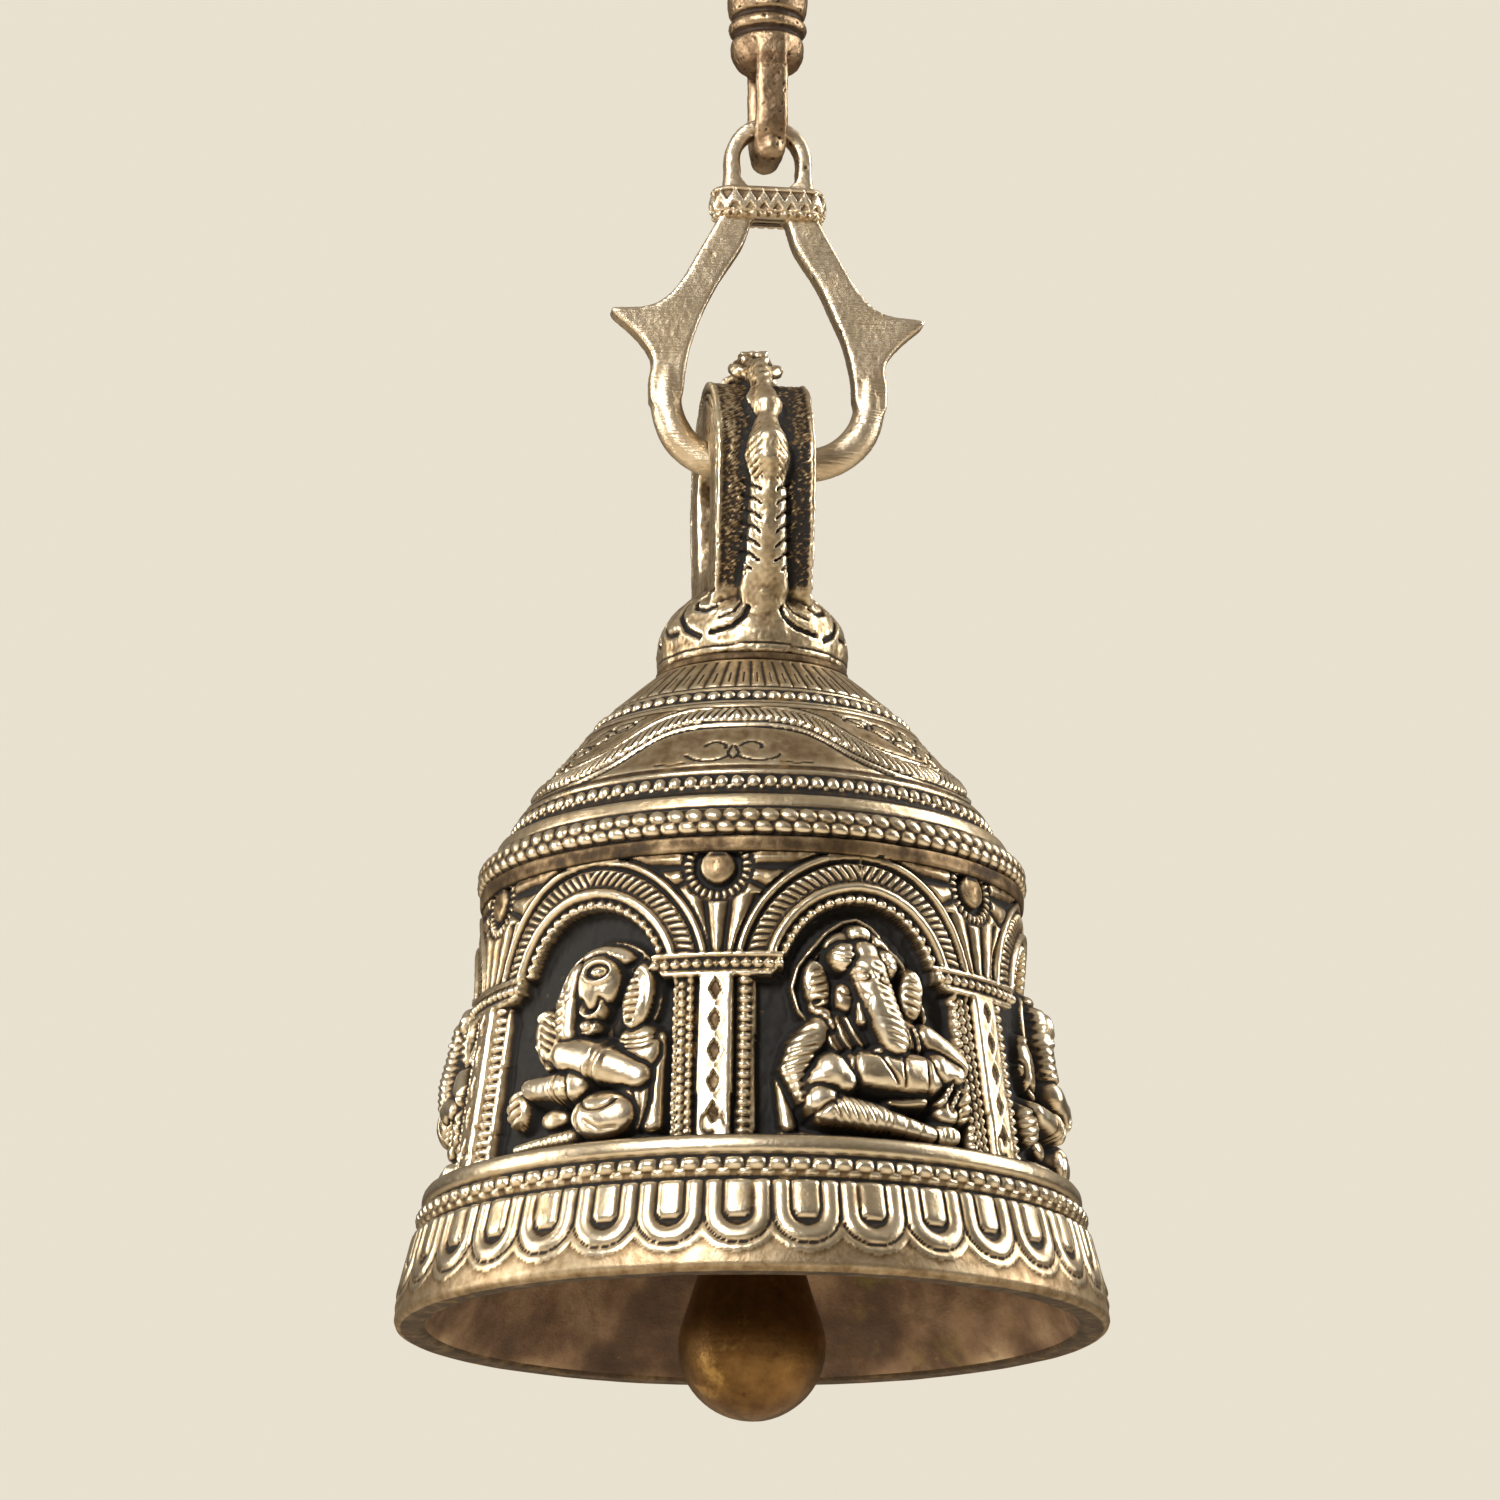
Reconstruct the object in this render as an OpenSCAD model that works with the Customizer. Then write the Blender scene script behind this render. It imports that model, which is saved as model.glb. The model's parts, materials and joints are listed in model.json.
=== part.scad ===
// Temple bell on a stirrup shackle, hung from an eye link.
// Bronze casting with six arched niches, a petal skirt and an engraved dome.
// Heights below are measured up from the plane of the rim; every part is then
// lowered so that the origin is the centre of the top hanging eye.

/* [Bell] */
// radius of the rim at the lip
rim_r = 65; // [50:0.5:80]
// wall thickness at the lip
lip_wall = 5.7; // [3:0.1:8]
// height of the bell from the rim to the seat of the crown
bell_h = 122; // [100:1:140]
// number of petals round the skirt
petal_count = 33; // [24:1:40]
// height of the petal row's top edge
petal_top = 16.6; // [12:0.1:22]
// how far each petal stands out
petal_relief = 0.7; // [0.3:0.1:1.5]

/* [Niches] */
// number of arched niches
niche_count = 6; // [4:1:8]
// turn of the first pillar from the front, in degrees
niche_turn = -15; // [-30:1:30]
// height of the niche floor
niche_floor = 25; // [20:0.5:30]
// half of the niche's width between the pillars
niche_half = 18.6; // [14:0.1:22]
// height of the arch springing
spring_z = 58.6; // [50:0.1:65]
// inner radius of the arch
arch_in_r = 13.6; // [10:0.1:18]
// height of the arch centre
arch_z = 52.7; // [48:0.1:58]
// width of the smooth middle of a pillar
pillar_w = 5.4; // [3:0.1:8]

/* [Crown] */
// height of the crown's base
crown_z = 123.2; // [118:0.1:130]
// radius of the crown's base
crown_r = 17.5; // [12:0.1:22]
// width of the loop along the shackle bar
loop_w = 18.5; // [12:0.1:24]
// height of the loop's outer top
loop_top = 180; // [170:0.5:190]
// radius of the hole in the loop
loop_hole_r = 9; // [7:0.1:12]
// width of the raised rib on the loop
rib_w = 7.2; // [4:0.1:10]
// how far the loop has slid to the left along the shackle bar
slide = 3; // [0:0.1:3.2]

/* [Shackle] */
// height of the centre of the shackle's bottom bar
bar_z = 165.05; // [160:0.05:170]
// radius of the shackle's bottom bar
bar_r = 3.25; // [2.5:0.05:4]
// thickness of the flat shackle arms
arm_t = 5; // [3:0.1:7]
// distance from the middle to a horn's tip
horn_x = 30.2; // [24:0.1:34]
// inner radius of the shackle's top eye
eye_in_r = 6.05; // [4:0.05:8]
// outer radius of the shackle's top eye
eye_out_r = 8.4; // [6:0.05:11]
// width of the knurled band
band_w = 21.7; // [18:0.1:26]

/* [Hanger] */
// height of the hanging eye's centre above the rim
hang_z = 281; // [260:0.5:300]
// radius of the hanging eye's hole
hang_r = 4.6; // [3:0.1:6]
// thickness of the hanging eye
hang_t = 6.4; // [4:0.1:9]
// height of the centre of the bar that the shackle hangs on
link_z = 227; // [220:0.05:232]
// radius of that bar
link_r = 2.85; // [2:0.05:4]
// radius of the turned barrel
barrel_r = 7.5; // [5:0.1:10]

/* [Clapper] */
// height of the pivot above the rim
pivot_z = 99.5; // [80:0.5:110]
// radius of the staple's wire
staple_r = 1.8; // [1.2:0.1:3]
// radius of the clapper's rod
rod_r = 2.2; // [1.5:0.1:4]
// radius of the striking ball
ball_r = 13.6; // [10:0.1:17]
// height of the ball's centre, below the rim
ball_z = -2.9; // [-8:0.1:6]
// free play between two linked eyes
link_gap = 0.3; // [0.1:0.05:0.6]

/* [Hidden] */
$fn = 96;
pale = [0.80, 0.74, 0.60];
satin = [0.78, 0.72, 0.58];
brown = [0.55, 0.45, 0.32];
gold = [0.56, 0.41, 0.20];
niche_step = 360 / niche_count;
ceiling_z = bell_h - 5;
bolt_r = 3;
hub_top = 137.7;
loop_out_r = 20.5;
loop_c = loop_top - loop_out_r;
loop_hole_c = bar_z + bar_r + link_gap - loop_hole_r;
eye_in_c = link_z + link_r + link_gap - eye_in_r;
eye_out_c = eye_in_c + 1.8;
staple_w = 12;
staple_bend = 2.8;
staple_top = pivot_z + 7;
rod_ring = 4.6;
rod_wire = 1.7;
rod_ring_c = pivot_z + staple_r + link_gap - (rod_ring - rod_wire);

// Back wall of the niches, and the front skin that the pillars and arches stand in.
function back_r(z) = 51.6 - (z - 25) * 0.11;
function front_r(z) = z < 56 ? 55.9 - (z - 25) * 0.152 : 51.2 - (z - 56) * 0.085;

module hung() translate([0, 0, -hang_z]) children();

// The bell's loop has slid to one side along the shackle's bar.
module slid() translate([-slide, 0, -hang_z]) children();

module round_niches(shift = 0)
  for (i = [0 : niche_count - 1])
    rotate([0, 0, niche_turn + shift + i * niche_step]) children();

// Outline drawn in X and Z, given a thickness in Y.
module plate(t) rotate([90, 0, 0]) linear_extrude(t, center = true) children();

// Outline drawn in X and Z, run outwards from one radius to another at the front.
module outward(from, to) translate([0, -from, 0]) rotate([90, 0, 0]) linear_extrude(to - from) children();

// ---- bell ----

outer_low = [[rim_r - lip_wall + 0.6, 0], [rim_r - 0.7, 0], [rim_r, 1.2], [rim_r - 0.6, 4],
  [62.2, 10.5], [61.0, petal_top], [60.2, 17.1], [60.9, 17.8], [60.8, 20.2], [59.4, 20.8],
  [59.9, 21.6], [60.3, 22.9], [59.6, 24.2], [58.4, niche_floor]];
outer_high = [[back_r(25), niche_floor], [back_r(76), 76], [48.6, 77.7], [50.0, 77.8],
  [50.0, 80.3], [49.5, 80.8], [50.5, 81.8], [50.6, 83.6], [49.5, 85.8], [48.0, 86.5],
  [47.4, 87.2], [46.6, 89.2], [45.4, 89.8], [45.6, 91.2], [43.6, 94.0], [42.2, 94.6],
  [38.2, 101], [33.6, 107], [31.2, 109.4], [30.8, 110.6], [27.2, 114.4], [25.4, 115.2],
  [22.2, 118.6], [18.6, 121.4], [17.9, bell_h], [0, bell_h]];
inside = [[0, ceiling_z], [14, ceiling_z], [21, 112.6], [29, 104], [36.4, 94], [41.2, 84],
  [43.6, 72], [45.4, 56], [47.6, 38], [50.4, 22], [54.6, 9], [58.4, 2], [rim_r - lip_wall, 0.6]];

// One niche opening: a square-sided recess below and a round arch above.
module niche_cut()
  outward(40, 60) {
    translate([-niche_half, niche_floor - 1]) square([2 * niche_half, spring_z - 3.2 - niche_floor + 1]);
    intersection() {
      translate([0, arch_z]) circle(arch_in_r);
      translate([-30, spring_z - 6]) square([60, 40]);
    }
  }

// Outline of the raised band of an arch, from radius a out to radius b.
module arch_band(a, b) intersection() {
  difference() {
    translate([0, arch_z]) circle(b);
    translate([0, arch_z]) circle(a);
  }
  translate([-30, spring_z - 0.45]) square([60, 18]);
}

// All the bands of one height, cut back to a skin that stands out from the wall.
module arch_ring(a, b, lift) intersection() {
  round_niches(niche_step / 2) outward(40, 56) arch_band(a, b);
  rotate_extrude() polygon([[48.2, spring_z - 1], [front_r(spring_z - 1) + lift, spring_z - 1],
    [front_r(77) + lift, 77.3], [46.3, 77.3]]);
}

// Pillars: a smooth middle panel with a raised string down each side, and a capital.
module pillars() {
  intersection() {
    round_niches() {
      translate([-pillar_w / 2, -60, 20]) cube([pillar_w, 12, 36]);
      for (s = [-1, 1])
        translate([s * (pillar_w / 2 + 1.9) - 0.8, -60, 20]) cube([1.6, 12, 36]);
    }
    rotate_extrude() polygon([[52.5, 24.6], [front_r(25) + 0.9, 24.6], [front_r(55) + 0.9, 55], [48.5, 55]]);
  }
  intersection() {
    round_niches() translate([-8, -60, 54]) cube([16, 15, 5]);
    rotate_extrude() polygon([[48.5, 54.8], [front_r(55) + 1.4, 54.8], [front_r(56) + 1.6, 56.7],
      [front_r(58) + 1.4, 58.5], [48.5, 58.5]]);
  }
}

// Half-round boss under the flange, with three flutes fanning down to the capital.
module spandrel() {
  translate([0, -49.4, 75.3]) sphere(3.2, $fn = 48);
  for (s = [-1, 0, 1])
    translate([s * 1.5, -50.2, 58]) rotate([3.6, s * 10, 0]) cylinder(h = 13, r = 0.9, $fn = 32);
}

// Outline of one petal: a raised U with a raised tongue inside it.
module petal() {
  difference() {
    union() {
      translate([-4.6, 8]) square([9.2, petal_top + 2]);
      translate([0, 8]) circle(4.6, $fn = 48);
    }
    translate([-2.9, 8]) square([5.8, petal_top + 4]);
    translate([0, 8]) circle(2.9, $fn = 48);
  }
  translate([-1.8, 9]) square([3.6, petal_top + 2]);
  translate([0, 9]) circle(1.8, $fn = 48);
}

module petals() intersection() {
  for (i = [0 : petal_count - 1]) rotate([0, 0, -10 + i * 360 / petal_count]) outward(56, 70) petal();
  rotate_extrude() polygon([[60, 2], [64.6 + petal_relief * 0.6, 2.4], [62.2 + petal_relief, 10.5],
    [61.0 + petal_relief, petal_top - 0.3], [59, petal_top - 0.3]]);
}

module bell_shell() color(pale) slid() difference() {
  union() {
    rotate_extrude($fn = 180) polygon(concat(outer_low, outer_high, inside));
    difference() {
      rotate_extrude($fn = 180) polygon([[50, 24.6], [front_r(25), 24.6], [front_r(55.9), 55.9],
        [front_r(56.1), 56.1], [front_r(77.4), 79.1], [45.2, 79.1], [back_r(76) - 0.8, 76]]);
      round_niches(niche_step / 2) niche_cut();
    }
    arch_ring(arch_in_r + 0.15, arch_in_r + 1.7, 0.5);
    arch_ring(arch_in_r + 2.2, arch_in_r + 4, 1);
    arch_ring(arch_in_r + 4.5, arch_in_r + 7, 0.7);
    pillars();
    round_niches() spandrel();
    petals();
  }
  translate([0, 0, ceiling_z - 1]) cylinder(h = bell_h - ceiling_z + 2, r = bolt_r + 0.05);
}

// ---- seated elephant-headed figures ----

// A soft limb between two balls.
module soft(a, b, r, q = 0) hull() {
  translate(a) sphere(r, $fn = 12);
  translate(b) sphere(q > 0 ? q : r, $fn = 12);
}

// Facing straight out, the trunk curling to one side.
module figure_front() {
  soft([0, 1.6, 13], [0, 2.2, 21], 8, 6.4);
  soft([0, 0.4, 27.2], [0, 1.4, 30.4], 5.6, 4.6);
  soft([0, 1.6, 32], [0, 2.2, 36.8], 3.8, 1.2);
  for (s = [-1, 1]) {
    soft([s * 4.6, 2.6, 29], [s * 7.6, 2.8, 24], 3, 2.4);
    soft([s * 7.2, 1.6, 21.4], [s * 10.6, -1.6, 14.2], 2.7, 2.3);
    soft([s * 10.6, -1.6, 14.2], [s * 4.8, -5.4, 15.4], 2.3, 1.8);
  }
  soft([0, -3.8, 26.6], [0.3, -5.8, 20], 2.2, 1.8);
  soft([0.3, -5.8, 20], [3, -6.4, 16.4], 1.8, 1.4);
  soft([-12.6, -0.4, 5.8], [-1.5, -4.6, 4.4], 3.8, 3);
  soft([13, -0.4, 6.6], [4.6, -3.8, 9.4], 3.6, 2.8);
  soft([4.6, -3.8, 9.4], [10.6, -3.2, 2.8], 2.8, 2.2);
}

// Turned to one side, leaning back on the pillar.
module figure_side() {
  soft([2.6, 1.6, 12], [2.6, 2, 19.8], 7.6, 5.8);
  soft([0.6, 0, 26.8], [2, 1, 30], 5.2, 4.4);
  soft([2.6, 1.4, 31.4], [4, 2.2, 36], 3.8, 1.2);
  soft([5, 1, 28.4], [8, 1.6, 23], 3, 2.2);
  soft([-5.6, 3, 24], [-7.4, 3.2, 19], 2.6, 2.2);
  soft([-2.8, -3, 25.8], [-4.4, -4.2, 18], 2.2, 1.8);
  soft([-4.4, -4.2, 18], [-1.6, -5, 14.6], 1.8, 1.4);
  soft([7.2, 0.4, 20], [8.4, -2.6, 13.6], 2.6, 2.3);
  soft([8.4, -2.6, 13.6], [0.6, -5, 13.8], 2.3, 1.8);
  soft([-2.6, -3.8, 10], [-13, 0.6, 9.2], 2.6, 1.8);
  soft([8.4, -1, 5], [-1, -4.4, 4.4], 4, 3);
  soft([-1, -4.4, 4.4], [-12, -2, 4.6], 3, 2.2);
}

module niche_figures() color(pale) slid() difference() {
  for (i = [0 : niche_count - 1])
    rotate([0, 0, niche_turn + niche_step / 2 + i * niche_step])
      translate([0, -50.4, niche_floor]) intersection() {
        if (i % 2 == 0) figure_front(); else figure_side();
        translate([-30, -30, 0]) cube([60, 60, 60]);
      }
  cylinder(h = 80, r1 = back_r(0) - 0.4, r2 = back_r(80) - 0.4, $fn = 60);
}

// ---- crown ----

module crown() color(pale) slid() difference() {
  union() {
    rotate_extrude() polygon([[0, crown_z], [crown_r, crown_z], [17.7, 124.2], [17.1, 127.4],
      [15.9, 129], [14.6, 130.6], [13.2, 133.2], [11.4, 136], [10, hub_top], [0, hub_top]]);
    difference() {
      rotate([90, 0, 90]) linear_extrude(loop_w, center = true) union() {
        translate([0, loop_c]) circle(loop_out_r);
        polygon([[-20.2, loop_c - 2], [-13.2, 133], [13.2, 133], [20.2, loop_c - 2]]);
      }
      rotate([90, 0, 90]) linear_extrude(30, center = true) {
        translate([-7.4, 148.5]) square([14.8, 10]);
        translate([0, 148.5]) circle(7.4);
      }
      translate([0, 0, loop_hole_c]) rotate([0, 90, 0]) cylinder(h = 40, r = loop_hole_r, center = true);
    }
    // raised rib over the loop, with a creature's head on each side and a knob at the top
    rotate([90, 0, 90]) linear_extrude(rib_w, center = true) difference() {
      union() {
        translate([0, loop_c]) circle(loop_out_r + 2);
        polygon([[-22.2, loop_c - 2], [-18.5, 146], [-15, 131], [15, 131], [18.5, 146], [22.2, loop_c - 2]]);
      }
      translate([0, loop_c]) circle(loop_out_r - 3.1);
      polygon([[-16.8, loop_c + 1], [-11, 136], [-9, 128], [9, 128], [11, 136], [16.8, loop_c + 1]]);
    }
    rotate_extrude() polygon([[0, loop_top - 2], [3, loop_top - 2], [2.6, loop_top + 2.6],
      [3.5, loop_top + 3.4], [3.3, loop_top + 5.2], [1.8, loop_top + 6.6], [0, loop_top + 6.6]]);
    for (s = [-1, 1]) {
      translate([0, s * 13.4, loop_top - 1.6]) rotate([0, 90, 0])
        cylinder(h = rib_w - 0.8, r = 3.7, center = true, $fn = 48);
      translate([0, s * 19.7, loop_c + 8]) rotate([0, 90, 0])
        cylinder(h = rib_w + 0.9, r = 4.2, center = true, $fn = 48);
    }
  }
  translate([0, 0, crown_z - 1]) cylinder(h = 10, r = bolt_r + 0.05);
}

module crown_washer() color(satin) slid() difference() {
  translate([0, 0, bell_h]) cylinder(h = crown_z - bell_h, r = 17.9);
  translate([0, 0, bell_h - 1]) cylinder(h = 4, r = bolt_r + 0.05);
}

// ---- shackle ----

// Points along a smooth curve through the given corner points.
function curve(p, n = 5) = [for (i = [1 : len(p) - 3]) for (j = [0 : n - 1])
  let (t = j / n, a = p[i - 1], b = p[i], c = p[i + 1], d = p[i + 2])
    0.5 * (2 * b + (c - a) * t + (2 * a - 5 * b + 4 * c - d) * t * t + (3 * b - a - 3 * c + d) * t * t * t)];

arm_outer = curve([[22.8, 168], [22.8, 173], [22.7, 180], [22.2, 184.6], [25, 189], [horn_x, 193.6],
  [horn_x + 2, 195]]);
arm_upper = curve([[horn_x + 3, 193], [horn_x, 194.3], [22.4, 195.2], [17.4, 199.4], [12.9, 207.4],
  [9.1, 214.6], [8.4, 220]]);
arm_inner = curve([[0, 216], [3, 213.4], [4.9, 208], [9.2, 201], [12, 195], [14.4, 189], [15.9, 182],
  [15.9, 176], [15.9, 173], [15.9, 170]]);

module shackle() color(satin) hung() {
  translate([0, 0, bar_z]) rotate([0, 90, 0]) cylinder(h = 24, r = bar_r, center = true);
  for (s = [0, 1]) mirror([s, 0, 0]) {
    translate([12, 0, bar_z + 7.4]) rotate([90, 0, 0]) rotate([0, 0, -90])
      rotate_extrude(angle = 90) translate([7.4, 0]) circle(bar_r, $fn = 48);
    translate([19.4, 0, bar_z + 7.4]) cylinder(h = 3, r = bar_r, $fn = 48);
    plate(arm_t) polygon(concat([[22.6, 172.4]], arm_outer, arm_upper, [[8.8, 218], [0, 218], [0, 213.4]],
      arm_inner, [[16.1, 172.4]]));
  }
  difference() {
    union() {
      translate([0, 0, eye_out_c]) rotate([90, 0, 0]) cylinder(h = 4.6, r = eye_out_r, center = true);
      plate(4.6) polygon([[-7.6, 214], [7.6, 214], [eye_out_r, eye_out_c], [-eye_out_r, eye_out_c]]);
    }
    translate([0, 0, eye_in_c]) rotate([90, 0, 0]) cylinder(h = 20, r = eye_in_r, center = true);
    translate([-5.4, -10, 219.5]) cube([10.8, 20, 4]);
  }
}

// Knurled band that binds the two arms below the eye.
module shackle_band() color(satin) hung() difference() {
  translate([0, 0, 213]) linear_extrude(6.5) difference() {
    union() {
      square([band_w - 6, 8.4], center = true);
      for (s = [-1, 1]) translate([s * (band_w / 2 - 4.2), 0]) circle(4.2, $fn = 48);
    }
    square([20, arm_t], center = true);
  }
  for (s = [-1, 1], i = [-4 : 4], d = [-1, 1])
    translate([i * 3.1, s * 4.3, 216.25]) rotate([0, d * 38, 0]) rotate([0, 0, 45])
      cube([0.55, 0.55, 12], center = true);
}

// ---- hanger ----

module hanger_link() color(brown) hung() {
  // lower eye: a round bar between two flat arms
  translate([0, 0, link_z]) rotate([90, 0, 0]) cylinder(h = 11, r = link_r, center = true);
  rotate([90, 0, 90]) linear_extrude(5.8, center = true) difference() {
    union() {
      translate([0, link_z + 4.35]) circle(7.2);
      polygon([[-7.2, link_z + 4.35], [7.2, link_z + 4.35], [6.6, 250], [-6.6, 250]]);
    }
    translate([-4.1, link_z - 9]) square([8.2, 28]);
  }
  // turned barrel with two grooves
  rotate_extrude() polygon(concat(
    [[0, 248.6 - 6.2 * sin(80)]], [for (a = [-80 : 10 : 0]) [7.1 * cos(a), 248.6 + 6.2 * sin(a)]],
    [[7.3, 249.6], [6.4, 250.2], [6.4, 251], [7.5, 251.6], [7.5, 253], [6.5, 253.6], [6.5, 254.6],
     [barrel_r, 255.2], [barrel_r + 0.2, 262], [barrel_r, 268], [6.6, 270.6], [4.8, 272.4], [0, 272.4]]));
  // top hanging eye
  difference() {
    union() {
      translate([0, 0, hang_z]) rotate([90, 0, 0]) cylinder(h = hang_t, r = 9.2, center = true);
      translate([-4.6, -hang_t / 2, 268]) cube([9.2, hang_t, 8]);
    }
    translate([0, 0, hang_z]) rotate([90, 0, 0]) cylinder(h = 30, r = hang_r, center = true);
  }
}

// ---- clapper and its fixing ----

// Bolt with a square eye: a straight bar that the clapper swings on, two bends and two legs.
module eye_bolt() color(brown) slid() {
  translate([0, 0, staple_top + 1]) cylinder(h = crown_z + 6 - staple_top, r = bolt_r);
  translate([0, 0, staple_top]) cylinder(h = 3, r = staple_w / 2 + staple_r + 0.7);
  translate([0, 0, pivot_z]) rotate([0, 90, 0])
    cylinder(h = staple_w - 2 * staple_bend, r = staple_r, center = true);
  for (s = [0, 1]) mirror([s, 0, 0]) {
    translate([staple_w / 2 - staple_bend, 0, pivot_z + staple_bend]) rotate([90, 0, 0]) rotate([0, 0, -90])
      rotate_extrude(angle = 90) translate([staple_bend, 0]) circle(staple_r, $fn = 48);
    translate([staple_w / 2, 0, pivot_z + staple_bend])
      cylinder(h = staple_top + 1 - pivot_z - staple_bend, r = staple_r, $fn = 48);
  }
}

module inner_washer() color(brown) slid() difference() {
  translate([0, 0, ceiling_z - 1.2]) cylinder(h = 1.2, r = 9);
  translate([0, 0, ceiling_z - 3]) cylinder(h = 5, r = bolt_r + 0.05);
}

module inner_nut() color(brown) slid() difference() {
  translate([0, 0, ceiling_z - 5]) cylinder(h = 3.8, r = 5.9, $fn = 6);
  translate([0, 0, ceiling_z - 7]) cylinder(h = 8, r = bolt_r + 0.05);
}

module clapper_rod() color(brown) slid() {
  translate([0, 0, rod_ring_c]) rotate([0, 90, 0])
    rotate_extrude() translate([rod_ring, 0]) circle(rod_wire, $fn = 48);
  translate([0, 0, 6]) cylinder(h = rod_ring_c - rod_ring - 6, r = rod_r);
}

module clapper_bob() color(gold) slid() difference() {
  rotate_extrude() polygon(concat([[0, ball_z - ball_r]],
    [for (a = [-80 : 10 : 20]) [ball_r * cos(a), ball_z + ball_r * sin(a)]],
    [[11.6, 5.2], [10.3, 9.4], [8.8, 13.6], [7, 18], [5.2, 22.4], [4, 26], [3.4, 29.6], [0, 29.6]]));
  translate([0, 0, 5.9]) cylinder(h = 40, r = rod_r + 0.05);
}

hanger_link();
shackle();
shackle_band();
crown();
crown_washer();
bell_shell();
niche_figures();
eye_bolt();
inner_washer();
inner_nut();
clapper_rod();
clapper_bob();
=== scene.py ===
import json
import math
from functools import partial
import bpy
import numpy as np
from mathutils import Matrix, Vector

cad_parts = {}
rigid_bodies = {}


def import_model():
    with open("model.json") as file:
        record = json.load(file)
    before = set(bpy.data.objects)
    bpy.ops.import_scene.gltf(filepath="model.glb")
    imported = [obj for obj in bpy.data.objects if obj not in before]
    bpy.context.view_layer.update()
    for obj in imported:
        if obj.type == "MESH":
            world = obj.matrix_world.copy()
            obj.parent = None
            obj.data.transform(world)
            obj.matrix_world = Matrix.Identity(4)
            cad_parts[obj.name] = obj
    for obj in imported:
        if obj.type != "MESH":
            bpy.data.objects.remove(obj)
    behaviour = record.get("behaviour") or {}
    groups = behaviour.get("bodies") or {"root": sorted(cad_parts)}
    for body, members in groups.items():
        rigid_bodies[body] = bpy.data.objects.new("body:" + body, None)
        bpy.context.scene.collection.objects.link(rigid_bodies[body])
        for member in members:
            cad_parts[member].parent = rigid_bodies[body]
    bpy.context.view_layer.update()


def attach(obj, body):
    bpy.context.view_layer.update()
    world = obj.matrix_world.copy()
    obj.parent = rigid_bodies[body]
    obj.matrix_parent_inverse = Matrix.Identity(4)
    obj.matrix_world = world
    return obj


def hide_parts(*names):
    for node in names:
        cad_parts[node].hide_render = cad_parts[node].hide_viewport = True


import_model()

H = 281.0            # height of the hanging eye above the rim plane, mm
SLIDE = 3.0          # the bell's loop sits this far to the left on the shackle's bar, mm
PI = math.pi

# ---------------------------------------------------------------- helpers


def lin(*c):
    """8-bit screen colour to a linear one."""
    c = [v / 255 for v in c]
    return tuple(v / 12.92 if v <= 0.04045 else ((v + 0.055) / 1.055) ** 2.4 for v in c) + (1.0,)


def turn(n):
    """n even angles around the axis."""
    return np.linspace(0, 2 * PI, n, endpoint=False)


def polyline(pts, step):
    """Evenly spaced points on a profile of (r, z) points, and their outward normals."""
    p = np.asarray(pts, float)
    d = np.r_[0, np.cumsum(np.hypot(*np.diff(p, axis=0).T))]
    s = np.linspace(0, d[-1], max(4, int(round(d[-1] / step)) + 1))
    r, z = np.interp(s, d, p[:, 0]), np.interp(s, d, p[:, 1])
    tr, tz = np.gradient(r, s), np.gradient(z, s)
    k = np.array([1, 2, 3, 2, 1.0]) / 9
    tr = np.convolve(np.pad(tr, 2, mode="edge"), k, "valid")
    tz = np.convolve(np.pad(tz, 2, mode="edge"), k, "valid")
    n = np.hypot(tr, tz)
    return s, r, z, tz / n, -tr / n


def blur(h, su, sv, wrap=True):
    """Gaussian blur of a grid, su and sv in cells; the first axis may wrap."""
    for ax, sg, wr in ((0, su, wrap), (1, sv, False)):
        n = h.shape[ax]
        m = n if wr else n + 2 * int(4 * sg) + 2
        o = (m - n) // 2
        a = h if wr else np.pad(h, [(o, m - n - o) if i == ax else (0, 0) for i in (0, 1)], mode="edge")
        f = np.fft.rfftfreq(m)
        g = np.exp(-2 * (PI * f * sg) ** 2)
        a = np.fft.irfft(np.fft.rfft(a, axis=ax) * (g[:, None] if ax == 0 else g[None, :]), n=m, axis=ax)
        if not wr:
            a = a[o:o + n] if ax == 0 else a[:, o:o + n]
        h = a
    return h


def noise2(shape, cu, cv, seed, wrap=True):
    """Smooth noise on a grid, about -1 to 1, with lumps cu and cv cells wide."""
    n = blur(np.random.default_rng(seed).normal(size=shape), cu, cv, wrap)
    return n / (np.abs(n).max() + 1e-9)


def grid_piece(name, P, wrap, cav, mat, body="bell"):
    """A piece from a grid of points, in mm above the rim plane and from the bell's axis."""
    nu, nv = P.shape[:2]
    co = P.reshape(-1, 3).copy()
    co[:, 2] -= H
    co[:, 0] -= SLIDE
    co /= 1000.0
    i = np.arange(nu if wrap else nu - 1)
    j = np.arange(nv - 1)
    I, J = np.meshgrid(i, j, indexing="ij")
    I2 = (I + 1) % nu
    q = np.stack([I * nv + J, I2 * nv + J, I2 * nv + J + 1, I * nv + J + 1], -1).reshape(-1, 4)
    me = bpy.data.meshes.new(name)
    me.vertices.add(len(co))
    me.vertices.foreach_set("co", co.astype(np.float32).ravel())
    me.loops.add(q.size)
    me.loops.foreach_set("vertex_index", q.astype(np.int32).ravel())
    me.polygons.add(len(q))
    me.polygons.foreach_set("loop_start", np.arange(0, q.size, 4, dtype=np.int32))
    me.update(calc_edges=True)
    me.validate()
    me.polygons.foreach_set("use_smooth", np.ones(len(me.polygons), bool))
    a = me.attributes.new("cav", "FLOAT", "POINT")
    a.data.foreach_set("value", np.asarray(cav, np.float32).ravel())
    me.materials.append(mat)
    ob = bpy.data.objects.new(name, me)
    bpy.context.collection.objects.link(ob)
    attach(ob, body)
    return ob


def smooth01(x, a, b):
    t = np.clip((x - a) / (b - a), 0, 1)
    return t * t * (3 - 2 * t)


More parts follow.
